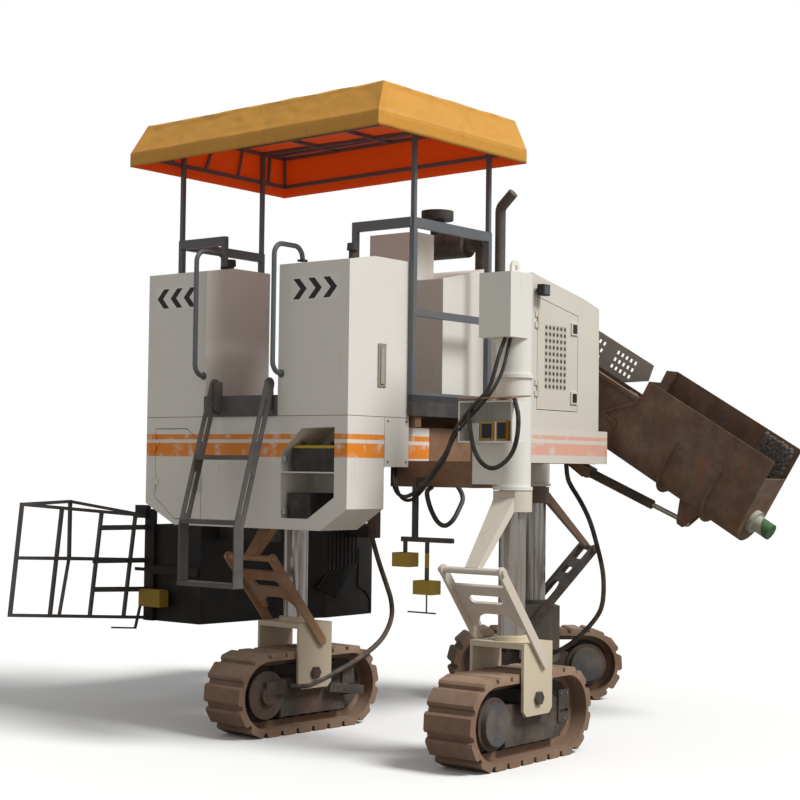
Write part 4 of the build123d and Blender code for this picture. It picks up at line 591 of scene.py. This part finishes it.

# Engine hood: a black sheet behind the vent holes, painted shade that stands in for the dark inside of the
# hood, the handles of the paddle latches in the door, and the glass of the lamp above it.
# A black sheet behind the vent holes: painted shade of the hood's dark inside.
depth = Shape()
depth.block((2080, 2600), (-262, -256), (2690, 3330)).done("grille_painted_shade", black_film)
handles = Shape()
for low, high in ((3237.0, 3340.0), (2655.0, 2757.0)):
    handles.block((2592, 2656), (-300, -296), (low + 14, high - 14), 2.0)
paddle_black = Finish("paddle_black", Base_Color=(0.02, 0.02, 0.02, 1.0), Roughness=0.35)
handles.done("paddle_latches", paddle_black, "engine_door")
lens = Shape()
lens.block((2016, 2104), (-379, -374), (3526, 3604), 3.0)
lens.done("lamp_lens", Finish("lamp_glass", Base_Color=(0.10, 0.10, 0.11, 1.0), Roughness=0.1))

# Frame behind the side panel: a cream cover of sheet steel with the cabinets' stripes, over the rusty rail.
cover = Shape()
cover.block((736, 1052), (44, 59.5), (2150, 2412), 6.0).done("frame_cover", lower_paint)

# Tray on the right column: a sloped brown roof plate of sheet steel, and two small control units with dark
# faces that look to the rear.
ROOF_X, ROOF_Y, ROOF_Z, ROOF_THICK = (400, 640), (-690, -1165), (2600, 2622), 10
tray_roof = Shape()
tray_roof.plate([(ROOF_X[0], ROOF_Y[0], ROOF_Z[0]), (ROOF_X[0], ROOF_Y[1], ROOF_Z[0]),
                 (ROOF_X[1], ROOF_Y[1], ROOF_Z[1]), (ROOF_X[1], ROOF_Y[0], ROOF_Z[1])], (0, 0, ROOF_THICK))
tray_roof.done("tray_roof", worn_steel("tray_brown", (0.30, 0.17, 0.09, 1.0), 0.6, 0.4))
units = Shape()
units.block((438, 520), (-985, -865), (2304, 2440), 6.0)
units.block((438, 500), (-1098, -1012), (2304, 2446), 6.0)
units.done("control_units", Finish("unit_orange", Base_Color=(0.50, 0.26, 0.03, 1.0), Roughness=0.5))
faces = Shape()
faces.block((434, 438), (-968, -884), (2322, 2424)).block((434, 438), (-1090, -1020), (2318, 2432))
faces.done("control_faces", black_film)

# Drive covers: a plain dark steel drum that stands out of each drive's disc, on the side away from the motor,
# and is a little narrower at its outer edge.
AXLE_X, AXLE_Z = -455.0, 325.0
COVER_OUT, COVER_R = (165.4, 206.0), (152.0, 149.0)
LEGS = (
    # leg, its column's x and y, the track's heading in degrees, the side that the cover is on
    ("right", 770.0, -930.0, 0.0, -1),
    ("rear", 790.0, 1180.0, -4.0, 1),
    ("front", 3650.0, 760.0, 135.5, 1),
)


def turned(x, y, heading):
    """A vector along and across a track, in the machine's axes."""
    cos, sin = math.cos(math.radians(heading)), math.sin(math.radians(heading))
    return x * cos - y * sin, x * sin + y * cos


for leg, column_x, column_y, heading, way in LEGS:
    ends = []
    for out in COVER_OUT:
        x, y = turned(AXLE_X, way * out, heading)
        ends.append((column_x + x, column_y + y, AXLE_Z))
    hub_grey = worn_steel("hub_grey_" + leg, (0.070, 0.070, 0.072, 1.0), 0.15, 0.25)
    hub = Shape()
    hub.drum(ends[0], ends[1], *COVER_R, 40).done("drive_hub_" + leg, hub_grey, "leg_" + leg, True)


# Bolts: hexagon heads that hold the side panel and the tracks' tension plates. A tree of nodes sets one head
# on each point, and the point knows which way its head faces.
def new_tree(label, sockets):
    """An empty tree with its named sockets, and its input and output nodes."""
    tree = bpy.data.node_groups.new(label, "GeometryNodeTree")
    for name, kind, way in sockets:
        tree.interface.new_socket(name, in_out=way, socket_type="NodeSocket" + kind)
    return tree, tree.nodes.new("NodeGroupInput").outputs, tree.nodes.new("NodeGroupOutput").inputs


def bolt_tree():
    tree, given, result = new_tree("bolt_heads", (
        ("Points", "Geometry", "INPUT"), ("Head Radius", "Float", "INPUT"), ("Head Height", "Float", "INPUT"),
        ("Finish", "Material", "INPUT"), ("Heads", "Geometry", "OUTPUT")))
    head = tree.nodes.new("GeometryNodeMeshCylinder")
    head.inputs["Vertices"].default_value = 6
    facing = tree.nodes.new("GeometryNodeInputNamedAttribute")
    facing.data_type = "FLOAT_VECTOR"
    facing.inputs["Name"].default_value = "facing"
    align = tree.nodes.new("FunctionNodeAlignRotationToVector")
    align.axis = "Z"
    spread = tree.nodes.new("GeometryNodeInstanceOnPoints")
    real = tree.nodes.new("GeometryNodeRealizeInstances")
    coat = tree.nodes.new("GeometryNodeSetMaterial")
    tree.links.new(given["Head Radius"], head.inputs["Radius"])
    tree.links.new(given["Head Height"], head.inputs["Depth"])
    tree.links.new(facing.outputs["Attribute"], align.inputs["Vector"])
    tree.links.new(given["Points"], spread.inputs["Points"])
    tree.links.new(head.outputs["Mesh"], spread.inputs["Instance"])
    tree.links.new(align.outputs["Rotation"], spread.inputs["Rotation"])
    tree.links.new(spread.outputs["Instances"], real.inputs["Geometry"])
    tree.links.new(real.outputs["Geometry"], coat.inputs["Geometry"])
    tree.links.new(given["Finish"], coat.inputs["Material"])
    tree.links.new(coat.outputs["Geometry"], result["Heads"])
    return tree


def grown(name, obj, tree, finish, body, values):
    """The plain mesh that a node tree makes of an object, which it takes the place of."""
    modifier = obj.modifiers.new(name, "NODES")
    modifier.node_group = tree
    for item in tree.interface.items_tree:
        if item.item_type == "SOCKET" and item.in_out == "INPUT" and item.name in values:
            modifier[item.identifier] = values[item.name]
    bpy.context.view_layer.update()
    evaluated = obj.evaluated_get(bpy.context.evaluated_depsgraph_get())
    made = bpy.data.meshes.new_from_object(evaluated)
    bpy.data.objects.remove(obj)
    made.materials.clear()
    made.materials.append(finish.material)
    result = bpy.data.objects.new(name, made)
    bpy.context.scene.collection.objects.link(result)
    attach(result, body)
    return result


BOLTS = bolt_tree()


def bolts(name, spots, finish, body, radius, height):
    """Bolt heads at spots, each a place in millimetres and the way it faces."""
    mesh = bpy.data.meshes.new(name)
    mesh.from_pydata([tuple(at(*place)) for place, _ in spots], [], [])
    facing = mesh.attributes.new("facing", "FLOAT_VECTOR", "POINT")
    for i, (_, way) in enumerate(spots):
        facing.data[i].vector = way
    obj = bpy.data.objects.new(name + "_points", mesh)
    bpy.context.scene.collection.objects.link(obj)
    sizes = {"Head Radius": radius / 1000, "Head Height": height / 1000, "Finish": finish.material}
    return grown(name, obj, BOLTS, finish, body, sizes)


BOLT_RADIUS = 9.0
PANEL_BOLT_H, TENSION_BOLT_H = 6.0, 8.0
PANEL_BOLTS_X, PANEL_BOLTS_Z, PANEL_FACE_Y = (472.0, 694.0), (2146.0, 2452.0), -2.0
TENSION_BOLTS, TENSION_FACE = ((415.0, 455.0), (495.0, 455.0), (455.0, 272.0)), 168.0
TO_RIGHT = (0.0, -1.0, 0.0)
bolt_zinc = worn_steel("bolt_zinc", (0.16, 0.145, 0.13, 1.0), 0.4, 0.3, 0.5, 0.0004)
panel = [((x, PANEL_FACE_Y, z), TO_RIGHT) for x in PANEL_BOLTS_X for z in PANEL_BOLTS_Z]
bolts("panel_bolts", panel, bolt_zinc, "chassis", BOLT_RADIUS, PANEL_BOLT_H)
for leg, column_x, column_y, heading, _ in LEGS:
    spots = []
    for sign in (-1, 1):
        for along, z in TENSION_BOLTS:
            x, y = turned(along, sign * TENSION_FACE, heading)
            spots.append(((column_x + x, column_y + y, z), (*turned(0.0, sign, heading), 0.0)))
    bolts("tension_plate_bolts_" + leg, spots, bolt_zinc, "leg_" + leg, BOLT_RADIUS, TENSION_BOLT_H)


# Caked concrete: a rough crust that has dried at the far end of the hopper's wall, and a heap of it at the
# neck. A tree of nodes scatters lumps over a face, of many sizes and turned at random from a fixed seed.
def seed_of(node):
    return next(socket for socket in node.inputs if socket.name == "Seed")


def value_of(node):
    return next(socket for socket in node.outputs if socket.enabled)


def crust_tree():
    tree, given, result = new_tree("caked_lumps", (
        ("Surface", "Geometry", "INPUT"), ("Density", "Float", "INPUT"), ("Lump Radius", "Float", "INPUT"),
        ("Seed", "Int", "INPUT"), ("Finish", "Material", "INPUT"), ("Lumps", "Geometry", "OUTPUT")))
    scatter = tree.nodes.new("GeometryNodeDistributePointsOnFaces")
    ball = tree.nodes.new("GeometryNodeMeshIcoSphere")
    ball.inputs["Subdivisions"].default_value = 1
    size = tree.nodes.new("FunctionNodeRandomValue")
    size.data_type = "FLOAT"
    size.inputs["Min"].default_value = 0.35
    size.inputs["Max"].default_value = 1.5
    spin = tree.nodes.new("FunctionNodeRandomValue")
    spin.data_type = "FLOAT_VECTOR"
    spin.inputs["Max"].default_value = (6.0, 6.0, 6.0)
    lumps = tree.nodes.new("GeometryNodeInstanceOnPoints")
    real = tree.nodes.new("GeometryNodeRealizeInstances")
    coat = tree.nodes.new("GeometryNodeSetMaterial")
    tree.links.new(given["Surface"], scatter.inputs["Mesh"])
    tree.links.new(given["Density"], scatter.inputs["Density"])
    for node in (scatter, size, spin):
        tree.links.new(given["Seed"], seed_of(node))
    tree.links.new(given["Lump Radius"], ball.inputs["Radius"])
    tree.links.new(scatter.outputs["Points"], lumps.inputs["Points"])
    tree.links.new(ball.outputs["Mesh"], lumps.inputs["Instance"])
    tree.links.new(value_of(size), lumps.inputs["Scale"])
    tree.links.new(value_of(spin), lumps.inputs["Rotation"])
    tree.links.new(lumps.outputs["Instances"], real.inputs["Geometry"])
    tree.links.new(real.outputs["Geometry"], coat.inputs["Geometry"])
    tree.links.new(given["Finish"], coat.inputs["Material"])
    tree.links.new(coat.outputs["Geometry"], result["Lumps"])
    return tree


CRUST = crust_tree()
concrete = worn_steel("dried_concrete", (0.115, 0.110, 0.105, 1.0), 0.1, 0.5, 0.9, 0.004)
NECK_Y, NECK_Z = -227.0, 2216.0
SLOPE = math.radians(30.5)
CAKED = (
    # crust, the wall's x, its stretch along the screw, its stretch over the floor, lumps on a square metre,
    # a lump's radius, the seed
    ("far_end", 3704.0, (1010.0, 1300.0), (420.0, 850.0), 7000.0, 17.0, 3),
    ("neck_heap", 3640.0, (-290.0, -25.0), (400.0, 520.0), 9000.0, 20.0, 5),
)


def trough_point(x, u, v):
    """A point of the conveyor: x, u along the screw from the neck and v above the trough's floor."""
    return (x, NECK_Y - math.cos(SLOPE) * u - math.sin(SLOPE) * v,
            NECK_Z - math.sin(SLOPE) * u + math.cos(SLOPE) * v)


for label, x, us, vs, density, radius, seed in CAKED:
    corners = [trough_point(x, us[i], vs[j]) for i, j in ((0, 0), (1, 0), (1, 1), (0, 1))]
    mesh = bpy.data.meshes.new("caked_" + label)
    mesh.from_pydata([tuple(at(*p)) for p in corners], [], [(0, 1, 2, 3)])
    face = bpy.data.objects.new("caked_" + label + "_face", mesh)
    bpy.context.scene.collection.objects.link(face)
    grown("caked_" + label, face, CRUST, concrete, "conveyor",
          {"Density": density, "Lump Radius": radius / 1000, "Seed": seed, "Finish": concrete.material})


# Hydraulic hoses: black rubber, the two long ones to the drives in a browner guard sleeve. They run from the
# fittings on the motors and units to the frame, and hang as the photograph shows, as far as it shows them.
hose_rubber = worn_steel("hose_rubber", (0.014, 0.013, 0.013, 1.0), 0.0, 0.22, 0.5, 0.0004)
guard_hose = worn_steel("guard_hose", (0.035, 0.030, 0.027, 1.0), 0.15, 0.40, 0.6, 0.001)


def hose(name, points, diameter, finish, body, swings=None):
    """A hose by its control points. One given two swing heights is made a plain mesh and joined to no body.
    """
    curve = bpy.data.curves.new(name, "CURVE")
    curve.dimensions = "3D"
    line = curve.splines.new("NURBS")
    line.points.add(len(points) - 1)
    for spot, place in zip(line.points, points):
        spot.co = (*at(*place), 1.0)
    line.order_u = 3
    line.use_endpoint_u = True
    line.resolution_u = 12
    obj = bpy.data.objects.new(name, curve)
    bpy.context.scene.collection.objects.link(obj)
    route = bpy.data.meshes.new_from_object(obj.evaluated_get(bpy.context.evaluated_depsgraph_get()))
    places = [vert.co.copy() for vert in route.vertices]
    length = sum((b - a).length for a, b in zip(places, places[1:]))
    bpy.data.meshes.remove(route)
    curve.bevel_depth = diameter / 2000
    curve.bevel_resolution = 4
    curve.use_fill_caps = True
    curve.materials.append(finish.material)
    facts = {"exit": tuple(at(*points[0])), "length": length, "diameter": diameter / 1000,
             "far_end": "object", "stiffness": "stiff", "lay": "hanging"}
    if not swings:
        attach(obj, body)
        return obj
    bpy.context.view_layer.update()
    tube = bpy.data.meshes.new_from_object(obj.evaluated_get(bpy.context.evaluated_depsgraph_get()))
    bpy.data.objects.remove(obj)
    obj = bpy.data.objects.new(name, tube)
    bpy.context.scene.collection.objects.link(obj)
    tube.shade_smooth()
    x, y, _ = points[-1]
    tuple(at(x, y, swings[0]))
    tuple(at(x, y, swings[1]))
    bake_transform(obj)
    return obj


hose("hose_rear_drive", [
    (505, 975, 385), (640, 965, 372), (727, 959, 373), (928, 945, 425), (1191, 926, 505), (1448, 908, 605),
    (1601, 898, 705), (1693, 891, 858), (1675, 893, 1000), (1629, 893, 1090), (1468, 893, 1380),
    (1357, 893, 1654), (1375, 896, 1950), (1430, 898, 2250), (1462, 900, 2417),
], 42, guard_hose, "leg_rear", (700.0, 2150.0))
hose("hose_front_drive", [
    (3503, 549, 455), (3430, 440, 435), (3400, 215, 543), (3400, 80, 659), (3400, -42, 782),
    (3400, -113, 892), (3400, -132, 1051), (3400, -120, 1226), (3400, -57, 1443), (3400, 17, 1661),
    (3400, 123, 1836), (3400, 220, 1960), (3400, 262, 2040), (3400, 270, 2157),
], 42, guard_hose, "leg_front", (700.0, 1950.0))
hose("hose_control_a", [
    (577, -985, 3052), (520, -975, 2940), (470, -970, 2809), (427, -950, 2664), (400, -840, 2560),
    (430, -700, 2440), (468, -600, 2340), (512, -520, 2220), (505, -420, 2104), (505, -300, 1960),
    (480, -180, 1880), (560, -30, 1900), (620, 70, 2000), (640, 80, 2157),
], 30, hose_rubber, "chassis")
hose("hose_control_b", [
    (640, -985, 3052), (600, -990, 2960), (540, -985, 2790), (440, -960, 2640), (405, -830, 2500),
    (430, -700, 2400), (470, -590, 2290), (530, -500, 2180), (530, -400, 2060), (520, -280, 1920),
    (540, -160, 1850), (600, -20, 1880), (680, 90, 2000), (700, 100, 2157),
], 26, hose_rubber, "chassis")
hose("hose_tray_loop", [
    (450, -800, 2560), (405, -790, 2500), (396, -802, 2429), (394, -840, 2243), (394, -915, 2137),
    (394, -1006, 2098), (394, -1104, 2138), (394, -1187, 2223), (396, -1222, 2349),
    (402, -1222, 2480), (430, -1180, 2560), (470, -1140, 2600),
], 33, hose_rubber, "chassis")
hose("hose_frame_loop", [
    (760, -200, 1958), (650, -235, 1940), (596, -285, 1880), (616, -300, 1799), (698, -300, 1700),
    (800, -300, 1662), (907, -300, 1709), (990, -300, 1810), (1054, -290, 1880), (1090, -200, 1980),
    (1075, -20, 2080), (1065, 70, 2157),
], 36, hose_rubber, "chassis")

# Canopy: a coated tarpaulin, orange-yellow outside, and deep red within with a glow, painted light that
# stands in for daylight through the cloth; it is sewn with a hem and stretched over the tubes. It sags a
# little between them, and its bands are creased. Corners run round from the rear right one.
HEM_CORNERS = ((0.0, -250.0), (1880.0, -285.0), (2080.0, 2530.0), (160.0, 2530.0))
TOP_CORNERS = ((180.0, -150.0), (1890.0, -160.0), (2050.0, 2510.0), (335.0, 2510.0))
EAVE_Z, HEM_Z, TOP_Z = 4580.0, 4690.0, 4955.0
CROSS_X = (722.0, 1716.0)
CROSS_AT = (0.09, 0.62, 0.9)
TOP_LENGTH = 1710.0
CELL = 28.0
TOP_ROWS, BAND_ROWS, HEM_ROWS = 92, 12, 4
SAG, SAG_REACH = 17.0, 160.0
CORNER_EASE = 22
cloth = bmesh.new()


def between(p, q, share):
    return tuple(a + (b - a) * share for a, b in zip(p, q))


def wave(x, y, z):
    return noise.noise(Vector((x, y, z)))


def panel_grid(lower, rows, place):
    """A grid of cloth over a line between two corners, each point set by place."""
    columns = max(2, round((Vector(lower[1]) - Vector(lower[0])).length / CELL))
    grid = []
    for j in range(rows + 1):
        grid.append([cloth.verts.new(at(*place(i / columns, j / rows))) for i in range(columns + 1)])
    for j in range(rows):
        for i in range(columns):
            cloth.faces.new((grid[j][i], grid[j][i + 1], grid[j + 1][i + 1], grid[j + 1][i]))


def edge_drop(x, y):
    """How far the wavy upper edge lies below the tubes' top, in millimetres."""
    return 6.0 + 6.0 * wave(x * 0.004, y * 0.0045, 2.0)


def top_sag(x, y, along, across):
    """The top's sag: none over a tube, most in the middle of a bay."""
    to_tubes = [abs(x - bar) for bar in CROSS_X] + [abs(along - share) * TOP_LENGTH for share in CROSS_AT]
    gap = min(to_tubes + [SAG_REACH]) / SAG_REACH
    return 2.0 + SAG * gap * abs(math.sin(4 * math.pi * across)) + 3.0 * wave(x * 0.008, y * 0.008, 0.0)


def top_place(along, across):
    right = between(TOP_CORNERS[0], TOP_CORNERS[1], along)
    left = between(TOP_CORNERS[3], TOP_CORNERS[2], along)
    x, y = between(right, left, across)
    rim = min(along, 1 - along, across, 1 - across)
    return x, y, TOP_Z - min(1.0, rim * 14) * top_sag(x, y, along, across) - edge_drop(x, y)


def crease(x, y, z, fold):
    """How far the cloth lies in from its outer face, in millimetres."""
    wide = wave(x * 0.0016 + z * 0.002, y * 0.0026 + z * 0.0045, z * 0.001)
    slant = wave(x * 0.006 + z * 0.004, y * 0.0055 - z * 0.009, z * 0.004 + 7.0)
    fine = wave(x * 0.017, y * 0.017 + z * 0.012, z * 0.016 + 3.0)
    return fold * (6.5 + 8.0 * wide + 9.0 * abs(slant) - 2.6 * fine)


def ease(along):
    """0 at a band's ends, where the cloth is sewn to the next band, and 1 a little way in."""
    return min(1.0, min(along, 1 - along) * CORNER_EASE)


panel_grid((TOP_CORNERS[0], TOP_CORNERS[1]), TOP_ROWS, top_place)
for i in range(4):
    hem_line = (HEM_CORNERS[i], HEM_CORNERS[(i + 1) % 4])
    top_line = (TOP_CORNERS[i], TOP_CORNERS[(i + 1) % 4])
    run = Vector(hem_line[1]) - Vector(hem_line[0])
    outward = Vector((run.y, -run.x)).normalized()

    def band_place(along, up):
        low = between(*hem_line, along)
        high = between(*top_line, along)
        x, y = between(low, high, up)
        z = HEM_Z + up * (TOP_Z - edge_drop(*high) - HEM_Z)
        fold = ease(along) * min(1.0, up * 6 + 0.25) * min(1.0, (1 - up) * 7)
        inward = crease(x, y, z, fold)
        return x - outward.x * inward, y - outward.y * inward, z

    def hem_place(along, up):
        x, y = between(*hem_line, along)
        flutter = (1 - up) * 3.0 * (1 + wave(x * 0.005, y * 0.005, 9.0)) * ease(along)
        inward = crease(x, y, HEM_Z, ease(along) * 0.25) + flutter
        return x - outward.x * inward, y - outward.y * inward, EAVE_Z + up * (HEM_Z - EAVE_Z)

    panel_grid(hem_line, BAND_ROWS, band_place)
    panel_grid(hem_line, HEM_ROWS, hem_place)
bmesh.ops.remove_doubles(cloth, verts=cloth.verts, dist=0.0075)
bmesh.ops.recalc_face_normals(cloth, faces=cloth.faces)
if sum(face.normal.z * face.calc_area() for face in cloth.faces) < 0:
    bmesh.ops.reverse_faces(cloth, faces=cloth.faces)
cloth_area = sum(face.calc_area() for face in cloth.faces)
tarp_mesh = bpy.data.meshes.new("canopy_tarpaulin")
cloth.to_mesh(tarp_mesh)
cloth.free()
tarp_mesh.shade_smooth()
tarp_mesh.set_sharp_from_angle(angle=math.radians(50.0))

SEAM_Z, HEM_EDGE_Z = (4.684, 4.690), 4.588
tarpaulin = Finish("tarpaulin", Roughness=0.55)
weave = tarpaulin.noise(2.2, (1.0, 1.0, 2.0), 8.0, 0.7)
_, _, tarp_z = tarpaulin.axes()
stain = ((tarpaulin.noise(7.0, (1.0, 1.0, 0.5), 7.0, 0.7) - 0.55) * 4.0).held()
cloth_colour = tarpaulin.over((weave - 0.3).held(), (0.655, 0.315, 0.036, 1.0), (0.56, 0.255, 0.030, 1.0))
cloth_colour = tarpaulin.over(stain * 0.35, cloth_colour, (0.26, 0.13, 0.04, 1.0))
stitching = (tarp_z.within(*SEAM_Z) + (tarp_z < HEM_EDGE_Z)).held()
tarpaulin.set(Base_Color=tarpaulin.over(stitching * 0.45, cloth_colour, (0.34, 0.15, 0.03, 1.0)))
creases = tarpaulin.node("TexNoise", {}, tarpaulin.place((1.0, 1.0, 1.4)), Scale=2.6, Detail=2.0,
                         Roughness=0.45, Distortion=0.9)
tarpaulin.bump(creases + weave * 0.05, 0.030, 0.45)
# The inside: a deep red that glows, painted light that stands in for daylight shining through the cloth.
tarp_inside_glow = Finish("tarpaulin_inside_glow", Base_Color=(0.60, 0.085, 0.004, 1.0), Roughness=0.75,
                     Emission_Color=(0.85, 0.060, 0.0, 1.0), Emission_Strength=0.21)
tarp_mesh.materials.append(tarpaulin.material)
tarp_mesh.materials.append(tarp_inside_glow.material)

CLOTH_THICKNESS = 0.0025
canopy = bpy.data.objects.new("canopy_tarpaulin", tarp_mesh)
bpy.context.scene.collection.objects.link(canopy)
thick = canopy.modifiers.new("cloth_thickness", "SOLIDIFY")
thick.thickness = CLOTH_THICKNESS
thick.offset = -1.0
thick.material_offset = 1
thick.material_offset_rim = 0
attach(canopy, "chassis")
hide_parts("canopy_cover")

# Ties: short pale cotton tapes on the canopy's right band, each a knot with its tail hanging down.
KNOTS = ((224.0, -230.0, 4721.0), (721.0, -236.0, 4734.0), (1204.0, -240.0, 4732.0), (1704.0, -244.0, 4743.0))
ties = Shape()
for x, y, z in KNOTS:
    ties.drum((x, y, z), (x + 9, y - 16, z - 62), 4.5, 3.0, 10)
    ties.drum((x - 5, y + 1, z + 3), (x + 7, y - 3, z - 3), 8.0, 7.0, 10)
ties.done("canopy_ties", Finish("tie_cotton", Base_Color=(0.62, 0.58, 0.50, 1.0), Roughness=0.9))
